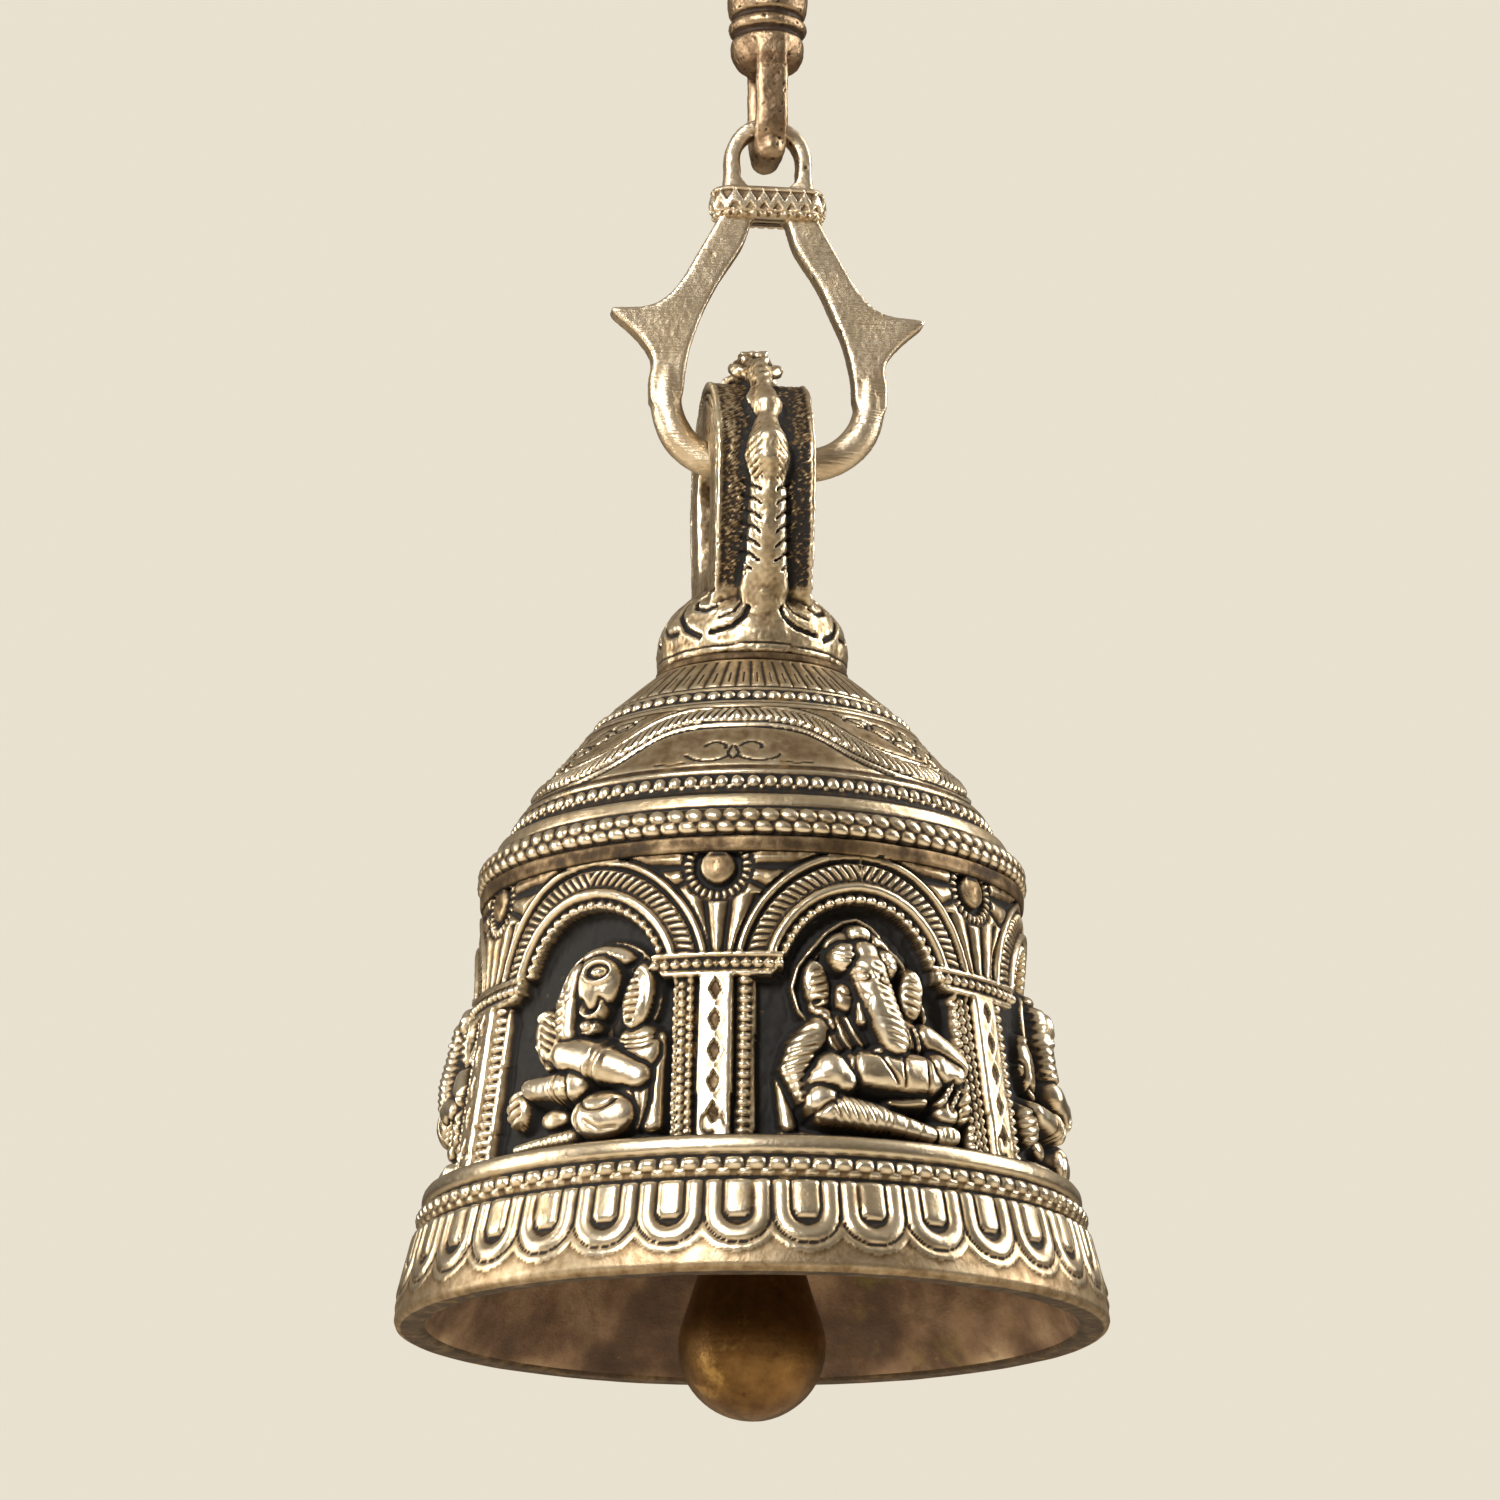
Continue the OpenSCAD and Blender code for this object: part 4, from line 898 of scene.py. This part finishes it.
def sculpt(name, solids, voxel, shape, smooth, body, mat, slide=0.0, gain=(0.9, 0.10)):
    """Fuse closed solids, soften them, push the surface by shape(P, N), and record its hollows as patina and
    painted shade.
    """
    me = bpy.data.meshes.new(name)
    vv, ff = [], []
    for v_, f_ in solids:
        o = len(vv)
        vv += [tuple(c) for c in v_]
        ff += [tuple(i + o for i in q_) for q_ in f_]
    me.from_pydata(vv, [], ff)
    ob = bpy.data.objects.new(name, me)
    bpy.context.collection.objects.link(ob)
    md = ob.modifiers.new("fuse", "REMESH")
    md.mode, md.voxel_size, md.use_smooth_shade = "VOXEL", voxel, True
    dg = bpy.context.evaluated_depsgraph_get()
    new = bpy.data.meshes.new_from_object(ob.evaluated_get(dg))
    ob.modifiers.clear()
    ob.data = new
    bpy.data.meshes.remove(me)
    new.name = name
    n = len(new.vertices)
    co = np.empty(n * 3)
    new.vertices.foreach_get("co", co)
    co = co.reshape(-1, 3)
    e = np.empty(len(new.edges) * 2, int)
    new.edges.foreach_get("vertices", e)
    e = e.reshape(-1, 2)
    co = relax(co, e, smooth)

    def normals():
        new.vertices.foreach_set("co", co.astype(np.float32).ravel())
        new.update()
        N_ = np.empty(n * 3)
        new.vertices.foreach_get("normal", N_)
        return N_.reshape(-1, 3)

    N = normals()
    hh, extra = shape(co, N)
    co = co + N * hh[:, None]
    N = normals()
    a = relax(co, e, 8)
    b = relax(a, e, 50)
    sm = ((co - a) * N).sum(1)
    lg = ((co - b) * N).sum(1)
    cav_ = np.clip(0.57 + gain[0] * np.clip(sm, -0.6, 0.25) * 2.2 + gain[1] * np.clip(lg, -3, 1.2) * 2
                   + extra, 0, 1)
    co = (co - np.array([slide, 0, H])) / 1000
    new.vertices.foreach_set("co", co.astype(np.float32).ravel())
    new.update()
    new.polygons.foreach_set("use_smooth", np.ones(len(new.polygons), bool))
    at = new.attributes.new("cav", "FLOAT", "POINT")
    at.data.foreach_set("value", cav_.astype(np.float32))
    new.materials.clear()
    new.materials.append(mat)
    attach(ob, body)
    return ob


def spline(p, n=6):
    """Points along a smooth curve through the inner corner points."""
    p = np.asarray(p, float)
    o = []
    for i in range(1, len(p) - 2):
        a, b, c, d = p[i - 1], p[i], p[i + 1], p[i + 2]
        for j in range(n):
            t = j / n
            o.append(0.5 * (2 * b + (c - a) * t + (2 * a - 5 * b + 4 * c - d) * t * t
                            + (3 * b - a - 3 * c + d) * t ** 3))
    return [tuple(x) for x in o]


# --- shackle: flat arms with horns, a round bottom bar and the top eye
horn = 30.2
arm_t, top_eye_t = 4.7, 4.6             # thickness of the arms and of the top eye
outer = spline([(22.4, 170), (22.6, 176.5), (22.7, 180.5), (22.2, 184.6), (25, 189), (horn, 193.6),
                (horn + 2, 195)])
upper = spline([(horn + 3, 193), (horn, 194.3), (22.4, 195.2), (17.4, 199.4), (12.9, 207.4), (9.1, 214.6),
                (8.4, 220)])
inner_ = spline([(0, 216), (3, 213.4), (4.9, 208), (9.2, 201), (12, 195), (14.4, 189), (15.9, 182.5),
                 (16.2, 177.5), (16.4, 172)])
arm = [(20.4, 173.6), (21.8, 175.2), *outer, *upper, (8.8, 217.8), (3.4, 217.8), (3.0, 214.5), *inner_,
       (17.0, 175.2), (18.6, 173.6)]
solids = [slab([(side_ * a, b) for a, b in arm][::side_], arm_t) for side_ in (1, -1)]
bar_z, bar_r, bend_h = 165.05, 3.2, 12.6


def bend(side_, width):
    """Lower bend of one side from the arm down to the bar: points (x, y, z, radius)."""
    points = [(19.0, 188, 1.7), (19.2, 184.5, 2.2), (19.4, 181, 2.7)]
    for a in np.linspace(0, PI / 2, 14):
        points.append((19.4 - width * (1 - math.cos(a)), bar_z + bend_h * (1 - math.sin(a)),
                       min(bar_r, 2.95 + a * 0.4)))
    return [(side_ * x, 0, z_, r_) for x, z_, r_ in points]


# the right bend is a little wider than the left one
bar = bend(1, 12.6) + [(x, 0, bar_z, bar_r) for x in (3.5, 0, -4, -7)] + bend(-1, 10.2)[::-1]
solids.append(tube([q[:3] for q in bar], [q[3] for q in bar]))
eye_path = [(7.3, 216), (7.35, 220)]
eye_path += [(7.2 * math.cos(a), 225.15 + 7.2 * math.sin(a)) for a in np.linspace(-0.25, PI + 0.25, 30)]
eye_path += [(-7.35, 220), (-7.3, 216)]
worn_square = [(-1, -0.6), (-0.7, -1), (0.7, -1), (1, -0.6), (1, 0.6), (0.7, 1), (-0.7, 1), (-1, 0.6)]
solids.append(strap([(x * 0.965, z_) for x, z_ in eye_path], worn_square, 3.1, top_eye_t))
fillet = [(8.4, 218.6), (2.6, 218.6), (3.6, 219.6), (5.2, 221.4), (6.2, 224), (8.2, 225)]
for side_ in (1, -1):
    solids.append(slab([(side_ * a, b) for a, b in fillet][::side_], 4.4))
solids.append(slab([(-8.6, 213.4), (8.6, 213.4), (8.3, 219.2), (-8.3, 219.2)], 4.4))


def shackle_shape(P, N):
    pit = waves(P, 1.6, 31)
    dent = waves(P, 9, 32)
    where = smooth01(waves(P, 14, 33) + 0.9 * (np.abs(N[:, 1]) < 0.5), 0.15, 0.9)
    h = 0.10 * dent - 0.38 * smooth01(pit, 0.95, 1.35) * where + 0.03 * waves(P, 0.9, 34)
    # dark pits, and painted shade on surfaces that face neither front nor back, such as the arms' narrow
    # sides
    return h, -0.34 * smooth01(pit, 0.9, 1.3) * where - 0.10 * (np.abs(N[:, 1]) < 0.4) + 0.06


shackle_ = sculpt("shackle_forged", solids, 0.34, shackle_shape, 7, "stirrup", satin_mat,
                  gain=(0.5, 0.05))
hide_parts("shackle")

# --- knurled band


def stadium(q, half, r_):
    """Point and outward normal at the distance q around a bar with half-round ends."""
    turn_ = 2 * half + PI * r_
    way = 1 if q < turn_ else -1
    q = q if q < turn_ else q - turn_
    if q < 2 * half:
        return way * (q - half), -way * r_, 0, -way
    a = (q - 2 * half) / r_ - PI / 2
    return way * (half + r_ * math.cos(a)), way * r_ * math.sin(a), way * math.cos(a), way * math.sin(a)


hw, rr_ = 6.7, 4.15                     # half-length of the band's straight sides, radius of its ends
per = np.linspace(0, 4 * hw + 2 * PI * rr_, 360, endpoint=False)
bx_, by_, nx_, ny_ = (c[:, None] for c in np.array([stadium(q, hw, rr_) for q in per]).T)
prof_ = [(-3.4, 213.3), (-1.0, 213.15), (-0.2, 213.5), (0.0, 214.2), (0.1, 216.3), (0.0, 218.6),
         (-0.3, 219.2), (-1.0, 219.5), (-3.4, 219.5)]
s, o_, z, no, nz = polyline(prof_, 0.16)
Sx = per[:, None] + 0 * s[None, :]
Zb = z[None, :] + 0 * Sx
out_ = o_[None, :] > -1.2
pt = 2.62
tri_up = (np.abs(wrapped(Sx - hw, pt)) < 1.15 * np.clip((Zb - 216.2) / 1.9, 0, 1)) & (Zb < 218.4)
tri_dn = (np.abs(wrapped(Sx - hw + pt / 2, pt)) < 1.0 * np.clip((215.9 - Zb) / 1.5, 0, 1)) & (Zb > 214.6)
hb = 0.35 * np.sin(PI * np.clip((Zb - 213.4) / 5.8, 0, 1)) - 0.75 * tri_up - 0.6 * tri_dn
hb -= 0.4 * (np.abs(Zb - 214.15 - 0.12 * np.sin(Sx * 2.1)) < 0.2)
hb -= 0.45 * (wrapped(Sx, 1.9) > 0.35) * (Zb < 213.9)
hb = np.where(out_, hb, 0) + 0.06 * noise2(hb.shape, 4, 4, 41)
hb += 0.10 * noise2(hb.shape, 14, 10, 42)
hs_ = blur(hb, 0.7, 0.8)
outward = o_[None, :] + hs_ * no[None, :]
Pb = np.stack([bx_ + outward * nx_, by_ + outward * ny_, z[None, :] + hs_ * nz[None, :]], -1)
Pb[..., 0] += SLIDE
# painted shade on the inner parts of the band's top and bottom faces, in the corners against the shackle
cavb = np.clip(0.66 + 0.8 * (hb - blur(hb, 6, 6)) - 0.5 * (o_[None, :] < -2), 0, 1)
band_ = grid_piece("shackle_band_knurled", Pb, True, cavb, satin_mat, "stirrup")
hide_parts("shackle_band")

# --- crown: collar, loop and the creature over it
loop_z, loop_r, loop_half = 159.5, 20.4, 9.2   # the loop's centre height, outer radius and half-width
hole_z, hole_r = 159.6, 8.9                    # the round top of its hole
eye_z = 155.0         # a point on the axis, inside the hole, from which both outlines are measured


def reach(outline, a):
    """Distance from the point in the hole to a convex outline in the direction a."""
    d = (math.cos(a), math.sin(a))
    best = 1e9
    for (y0, z0), (y1, z1) in zip(outline, outline[1:] + outline[:1]):
        ny, nz_ = z1 - z0, y0 - y1
        den = ny * d[0] + nz_ * d[1]
        if den > 1e-9:
            best = min(best, (ny * y0 + nz_ * (z0 - eye_z)) / den)
    return best


solids = [lathe([(0.01, 123.2), (17.3, 123.2), (17.8, 123.7), (18.0, 127.2), (17.6, 129.8), (16.9, 131.8),
                 (15.6, 133.8), (14.0, 135.6), (12.2, 137.2), (10.4, 138.6), (0.01, 138.8)], 120)]
half_out = [(20.0, 154), (19.0, 148), (17.4, 141.5), (14.5, 134), (12, 132)]
half_in = [(8.6, 155), (7.9, 148), (7.3, 145.4), (5.6, 143.4)]
outline_out = ([(loop_r * math.cos(a), loop_z + loop_r * math.sin(a)) for a in np.linspace(0, PI, 40)]
               + [(-y, z_) for y, z_ in half_out] + half_out[::-1])
outline_in = ([(hole_r * math.cos(a), hole_z + hole_r * math.sin(a)) for a in np.linspace(0, PI, 30)]
              + [(-y, z_) for y, z_ in half_in] + half_in[::-1])
ring_v, ring_f = [], []
n_r = 120
for a in turn(n_r):
    for x in (-loop_half, loop_half):
        for q_ in (reach(outline_out, a), reach(outline_in, a)):
            ring_v.append((x, q_ * math.cos(a), eye_z + q_ * math.sin(a)))
for k in range(n_r):
    a, b = 4 * k, 4 * ((k + 1) % n_r)
    ring_f += [(a, b, b + 2, a + 2), (a + 1, a + 3, b + 3, b + 1), (a, a + 1, b + 1, b),
               (a + 2, b + 2, b + 3, a + 3)]
solids.append((ring_v, ring_f))
# creature on each side: stem, body, head, tail, wings and the curls that reach the knob
stem = [(14.2, 128.6, 3.0), (15.0, 131.5, 3.6), (16.0, 135.5, 4.6), (17.9, 140, 4.0), (19.8, 146, 3.6),
        (20.9, 153, 3.4), (20.6, 158, 2.8)]
body_tubes = [
    ([(0, 21.0, 155.5), (0, 21.2, 159), (0, 20.6, 163), (0, 19.4, 166.4)], [2.6, 3.9, 3.8, 2.4], 32),
    ([(0.2, 18.6, 168.2), (0.4, 17.6, 170.6), (0.2, 16.0, 173.2)], [2.0, 3.0, 2.2], 28),
    ([(-1.6, 17.9, 169), (-2.4, 15.9, 172.6), (-1.4, 13.8, 175.4)], [0.9, 1.2, 0.9], 20),
    ([(2.7, 21.2, 155.6), (3.4, 21.0, 160), (2.6, 19.8, 165)], [0.7, 0.9, 0.7], 20),
    ([(-2.7, 21.2, 155.6), (-3.4, 21.0, 160), (-2.6, 19.8, 165)], [0.7, 0.9, 0.7], 20),
    ([(0, 14.8, 175.2), (0, 10.5, 179.2), (0, 5, 181.2), (0, 0, 181.8)], [1.6, 2.4, 2.8, 3.2], 28)]
for q_ in (-1, 1):
    curl = [(q_ * 1.8, 8.5, 180), (q_ * 3.8, 6.4, 181.2), (q_ * 4.2, 3.6, 182.4), (q_ * 3.0, 2.6, 183)]
    tuft = [(q_ * 0.4, 4.6, 183.4), (q_ * 2.0, 3.4, 184.4), (q_ * 3.2, 1.2, 184.2)]
    body_tubes += [(curl, [0.9, 1.3, 1.1, 0.7], 20), (tuft, [0.7, 0.9, 0.8], 20)]
angles = [2 * PI * k / 24 for k in range(24)]
for s_ in (-1, 1):
    solids.append(skin([[(w * math.cos(a), s_ * -y + 2.6 * math.sin(a), z_) for a in angles]
                        for y, z_, w in stem]))
    for path, radii, n_ in body_tubes:
        solids.append(tube([(x, s_ * -y, z_) for x, y, z_ in path], radii, n_))
solids.append(tube([(0, 0, 181), (0, 0, 184.4)], [3.0, 2.6], 32))
solids.append(slab([(-2.3, 184.2), (2.3, 184.2), (2.6, 186.5), (-2.6, 186.5)], 5.6))


def crown_shape(P, N):
    x, y, z_ = P.T
    fy = np.abs(y)
    h = 0.05 * waves(P, 1.2, 51) + 0.10 * waves(P, 5, 52)
    extra = np.zeros(len(P))
    # rough, sunk outer face of the loop beside the creature, between raised edges
    rad = np.hypot(y, z_ - loop_z)
    facing = np.where(z_ > loop_z, (N[:, 1] * y + N[:, 2] * (z_ - loop_z)) / np.maximum(rad, 1),
                      N[:, 1] * np.sign(y))
    outw = ((facing > 0.55) & (z_ > 135.4) & (np.where(z_ > loop_z, rad,
                                                       fy + 0.20 * np.maximum(150 - z_, 0)) > 17.8))
    on_band = outw & (np.where(z_ > loop_z, rad, fy) < 20.9)
    ax = np.abs(x)
    flank = np.interp(z_, [134, 141.5, 148, 154], [14.5, 17.4, 19.0, 20.0])
    mid_ = (on_band * smooth01(-ax, -9.0, -7.6) * smooth01(z_, 135.6, 137.4)
            * ((z_ > 154) | (np.abs(fy - flank) < 1.0)))
    gr = 0.7 * waves(P, 0.62, 53) + 0.4 * waves(P, 1.5, 55)
    h += mid_ * (-0.42 + 0.15 * gr)
    # painted highlight towards the left and the top, painted shade beside the stem, over the face's rough
    # dark tone
    extra = (extra + mid_ * (-0.27 + 0.09 * gr - 0.12 * smooth01(-ax, -6.4, -4.4)
                             + 0.13 * smooth01(-x, -1, 3) + 0.12 * smooth01(z_, 158, 174)))
    # groove along both edges of the loop's sides
    side = (np.abs(N[:, 0]) > 0.7) & (z_ > 138)
    edge_d = np.where(z_ > loop_z, loop_r - rad, 20.0 - fy)
    h -= np.where(side & (np.abs(edge_d - 2.1) < 0.35), 0.5, 0)
    h -= np.where(side & (np.abs(edge_d - 3.6 - 0.5 * np.sin(z_ * 1.2)) < 0.3), 0.35, 0)
    # notched edges of the stem
    stem_ = (fy > 17.4) & (z_ > 138.5) & (z_ < 155.4) & (ax < 4.8)
    cut = np.abs(wrapped(z_ - 136 - 0.85 * ax, 2.6)) < 0.3
    h -= np.where(stem_ & cut & (ax > 1.5), 0.7, 0)
    extra -= np.where(stem_ & cut & (ax > 1.5), 0.34, 0)
    # feathers on the body, lines on the head
    body_ = (fy > 19) & (z_ > 155) & (z_ < 167)
    h = (h - np.where(body_ & (np.abs(wrapped(z_ + 0.9 * ax, 1.5)) < 0.25) & (ax > 1.5) & (ax < 4.2)
                      & (fy > 20.3), 0.14, 0))
    head_ = (z_ > 174) & (fy < 16)
    h += np.where(head_ & (ax < 5), 0.16 * waves(P, 1.5, 54), 0)
    # scroll leaves on the collar
    u_ = np.arctan2(ax, fy) * 15.5
    on = (z_ < 138.6) & (np.hypot(x, y) < 19.5) & (N[:, 2] > -0.2) & (z_ > 123.9)
    cut = np.zeros(len(P))
    scrolls = [([(2.2, 137.6), (2.5, 133.4), (3.4, 130.4), (5.3, 128.5), (8.9, 127.6)], 0.6, -0.9),
               ([(7.0, 134.2), (8.8, 136.0), (11.6, 136.2), (13.4, 134.8), (12.6, 132.8), (10.2, 132.0),
                 (8.6, 132.6)], 0.5, -0.8), ([(11.0, 127.0), (14.0, 128.9), (16.0, 132.0), (16.8, 135.2)],
                                             0.6, -0.9),
               ([(16.2, 128.6), (18.9, 128.8), (20.8, 131.2), (20.4, 133.4)], 0.5, -0.8),
               ([(23.6, 128.4), (21.6, 127.2), (22.4, 131)], 0.45, -0.7),
               ([(3.9, 133.8), (5.2, 131.4), (7.6, 130.4)], 0.32, -0.5),
               ([(0.0, 125.2), (8, 124.7), (24, 124.6)], 0.2, -0.25)]
    for pts, w, dpt in scrolls:
        cut = np.minimum(cut, line(u_, z_, pts, w, dpt))
    leaf = (0.5 * np.exp(-(((u_ - 10.5) / 3.6) ** 2 + ((z_ - 133.6) / 2.4) ** 2))
            + 0.3 * np.exp(-(((u_ - 18.4) / 2.4) ** 2 + ((z_ - 131) / 2) ** 2)))
    h += np.where(on, 1.1 * cut + leaf, 0)
    extra += np.where(on, 0.75 * cut, 0)
    # soft facets on the collar's band
    a = np.arctan2(x, -y)
    h = (h + np.where((z_ < 129.5) & (np.hypot(x, y) > 15),
                      -0.22 * (1 - np.abs(np.cos(a * 4.5 + 0.3))) ** 2 * 1.4, 0))
    # painted shadow along the collar's foot, where it sits on the washer
    extra -= 0.25 * (z_ < 123.8)
    return h, extra


crown_ = sculpt("crown_cast", solids, 0.36, crown_shape, 4, "bell", bell_mat, SLIDE,
                gain=(0.9, 0.12))
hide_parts("crown")

# --- washer under the crown
s, r, z, nr, nz = polyline([(17.0, 121.9), (17.8, 121.9), (18.0, 122.2), (18.0, 123.0), (17.8, 123.3),
                            (16.6, 123.3)], 0.15)
tw = turn(240)
hw_ = 0.06 * noise2((240, len(s)), 6, 2, 61)
P = place(tw, r, z, nr, nz, hw_)
wash = grid_piece("crown_washer_ring", P, True, np.full(hw_.shape, 0.42), bell_mat)
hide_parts("crown_washer")

# --- hanger: barrel, lower link and top eye
solids = [lathe([(0.01, 243.6), (3.4, 243.4), (5.9, 244.6), (6.9, 246.6), (7.1, 248.4), (7.0, 249.6),
                 (6.3, 250.0), (6.2, 250.9), (7.3, 251.3), (7.6, 252.2), (7.3, 253.2), (6.3, 253.6),
                 (6.3, 254.5), (7.4, 254.9), (7.8, 257.5), (7.7, 262), (7.3, 267), (6.5, 270),
                 (5.2, 271.8), (3.6, 272.6), (0.01, 272.8)], 96)]
path = [(-5.5, 248), (-5.65, 240), (-5.6, 234)]
path += [(-5.5 * math.cos(a), 232.6 - 5.55 * math.sin(a)) for a in np.linspace(0.15, PI - 0.15, 18)]
path += [(5.6, 234), (5.65, 240), (5.5, 248)]


def blunt(c):
    """Pulls a cosine or sine outwards, which squares a circle."""
    return math.copysign(abs(c) ** 0.55, c)


worn_bar = [(blunt(math.cos(a)), blunt(math.sin(a))) for a in turn(32)]
solids.append(strap(path, worn_bar, 3.0, 6.1, flip=True))
solids.append(tube([(0, -3.6, 227.05), (0, 3.6, 227.05)], [2.8] * 2, 32))
# the hanging eye: a worn eight-cornered section turned about the hole
n_eye = 72
section = [(-3.15, 8.45), (-2.5, 9.0), (2.5, 9.0), (3.15, 8.45), (3.15, 5.0), (2.6, 4.6), (-2.6, 4.6),
           (-3.15, 5.0)]
eye_v, eye_f = [], []
for k in range(n_eye):
    a = 2 * PI * k / n_eye
    eye_v += [(ro * math.cos(a), y, H + ro * math.sin(a)) for y, ro in section]
    b = ((k + 1) % n_eye) * 8
    eye_f += [(b + j, b + (j + 1) % 8, 8 * k + (j + 1) % 8, 8 * k + j) for j in range(8)]
solids.append((eye_v, eye_f))
solids.append(slab([(-4.4, 268), (4.4, 268), (4.0, 275.8), (-4.0, 275.8)], 6.0))


def hanger_shape(P, N):
    pit = waves(P, 1.5, 71)
    h = 0.10 * waves(P, 6, 72) - 0.30 * smooth01(pit, 1.0, 1.35) + 0.04 * waves(P, 0.9, 73)
    # dark pits and grooves, and painted shade on the barrel's rounded foot between the link's arms
    return (h, -0.3 * smooth01(pit, 0.95, 1.3) - 0.15 * ((P[:, 2] > 243) & (P[:, 2] < 245.5))
            - 0.3 * (np.abs(P[:, 2] - 250.5) < 0.8) - 0.3 * (np.abs(P[:, 2] - 254) < 0.7))


hanger_ = sculpt("hanger_turned", solids, 0.34, hanger_shape, 4, "hanger", link_mat,
                 gain=(0.6, 0.06))
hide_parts("hanger_link")

# --- clapper bob
bz_, br = -2.9, 13.45
pts = ([(0.05, bz_ - br)] + [(br * math.cos(math.radians(a)), bz_ + br * math.sin(math.radians(a)))
                             for a in range(-84, 21, 6)])
pts += [(11.5, 5.2), (10.2, 9.4), (8.7, 13.6), (6.9, 18), (5.1, 22.4), (3.95, 26), (3.3, 29.4), (2.25, 29.6)]
s, r, z, nr, nz = polyline(pts, 0.45)
tb = turn(220)
hb = 0.09 * noise2((220, len(s)), 16, 10, 81) + 0.03 * noise2((220, len(s)), 2.5, 2.5, 82)
pit = noise2((220, len(s)), 2.2, 2.0, 83)
hb -= 0.35 * smooth01(pit, 0.62, 0.9)
hb = hb * smooth01(s, 0, 4)[None, :]
cavb = np.clip(0.60 + 0.22 * noise2(hb.shape, 12, 9, 84) + 0.10 * noise2(hb.shape, 3, 3, 85)
               - 0.5 * smooth01(pit, 0.58, 0.85), 0, 1)
bob = grid_piece("clapper_ball", place(tb, r, z, nr, nz, hb), True, cavb, bob_mat, "clapper")
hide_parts("clapper_bob")

# --- small inner ironwork keeps its CAD shape
for name in ("eye_bolt", "inner_washer", "inner_nut", "clapper_rod"):
    for o in bpy.data.objects:
        if o.type == "MESH" and o.name == name:
            o.data.materials.clear()
            o.data.materials.append(iron_mat)

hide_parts("bell_shell", "niche_figures")

# ---------------------------------------------------------------- camera, light, floor
cam_data = bpy.data.cameras.new("camera")
cam = bpy.data.objects.new("camera", cam_data)
bpy.context.collection.objects.link(cam)
cam_data.sensor_width = 36
cam_data.lens = 147.3
cam_data.shift_x = -0.0013
az = math.radians(-8.0)
dist, low = 1.105, -0.1821
pitch = math.radians(14.77)
cam.location = (math.sin(az) * dist - SLIDE / 1000, -math.cos(az) * dist, low - H / 1000)
fwd = Vector((-math.sin(az) * math.cos(pitch), math.cos(az) * math.cos(pitch), math.sin(pitch)))
cam.rotation_mode = "QUATERNION"
cam.rotation_quaternion = fwd.to_track_quat("-Z", "Y")
cam_data.clip_start, cam_data.clip_end = 0.01, 50
bpy.context.scene.camera = cam

bpy.context.scene.view_settings.view_transform = "Standard"
world = bpy.data.worlds.new("studio")
bpy.context.scene.world = world
world.use_nodes = True
wn = world.node_tree
bg = wn.nodes["Background"]
bg.inputs["Color"].default_value = lin(233, 225, 208)
bg.inputs["Strength"].default_value = 1.0
room = wn.nodes.new("ShaderNodeBackground")
room.inputs["Strength"].default_value = 0.5
tcw = wn.nodes.new("ShaderNodeTexCoord")
sep = wn.nodes.new("ShaderNodeSeparateXYZ")
wn.links.new(tcw.outputs["Generated"], sep.inputs[0])
rmp = wn.nodes.new("ShaderNodeValToRGB")
wn.links.new(sep.outputs["Z"], rmp.inputs[0])
rmp.color_ramp.elements[0].position, rmp.color_ramp.elements[0].color = 0.0, lin(66, 58, 50)
rmp.color_ramp.elements[1].position, rmp.color_ramp.elements[1].color = 0.75, lin(226, 214, 196)
wn.links.new(rmp.outputs[0], room.inputs["Color"])
lp = wn.nodes.new("ShaderNodeLightPath")
mxw = wn.nodes.new("ShaderNodeMixShader")
wn.links.new(lp.outputs["Is Camera Ray"], mxw.inputs[0])
wn.links.new(room.outputs[0], mxw.inputs[1])
wn.links.new(bg.outputs[0], mxw.inputs[2])
wn.links.new(mxw.outputs[0], wn.nodes["World Output"].inputs[0])


def area(name, loc, target, size, power, colour=(1, 1, 1)):
    d = bpy.data.lights.new(name, "AREA")
    d.shape, d.size, d.size_y = "RECTANGLE", size[0], size[1]
    d.energy, d.color = power, colour
    o = bpy.data.objects.new(name, d)
    o.location = loc
    o.rotation_mode = "QUATERNION"
    o.rotation_quaternion = (Vector(target) - Vector(loc)).to_track_quat("-Z", "Y")
    bpy.context.collection.objects.link(o)


area("key", (-0.75, -1.15, 0.45), (0, 0, -0.2), (0.35, 0.45), 23, (1, 0.97, 0.93))
area("front", (0.30, -1.35, -0.75), (0, 0, -0.2), (0.35, 0.25), 7, (1, 0.96, 0.9))
area("rim", (0.95, -0.05, 0.30), (0, 0, -0.17), (0.18, 0.9), 10, (1, 0.95, 0.88))
area("left", (-1.2, 0.1, 0.0), (0, 0, -0.15), (0.16, 0.9), 9, (1, 0.94, 0.85))
area("under", (0.1, -0.35, -0.95), (0, 0, -0.27), (0.3, 0.3), 1.6, (1, 0.93, 0.84))

me = bpy.data.meshes.new("floor")
fz = -0.62           # the floor's height under the hanging eye, m
me.from_pydata([(-4, -4, fz), (4, -4, fz), (4, 4, fz), (-4, 4, fz)], [], [(0, 1, 2, 3)])
floor = bpy.data.objects.new("floor", me)
bpy.context.collection.objects.link(floor)
fm = bpy.data.materials.new("floor_paper")
fm.use_nodes = True
fm.node_tree.nodes["Principled BSDF"].inputs["Base Color"].default_value = lin(228, 218, 200)
fm.node_tree.nodes["Principled BSDF"].inputs["Roughness"].default_value = 0.9
me.materials.append(fm)
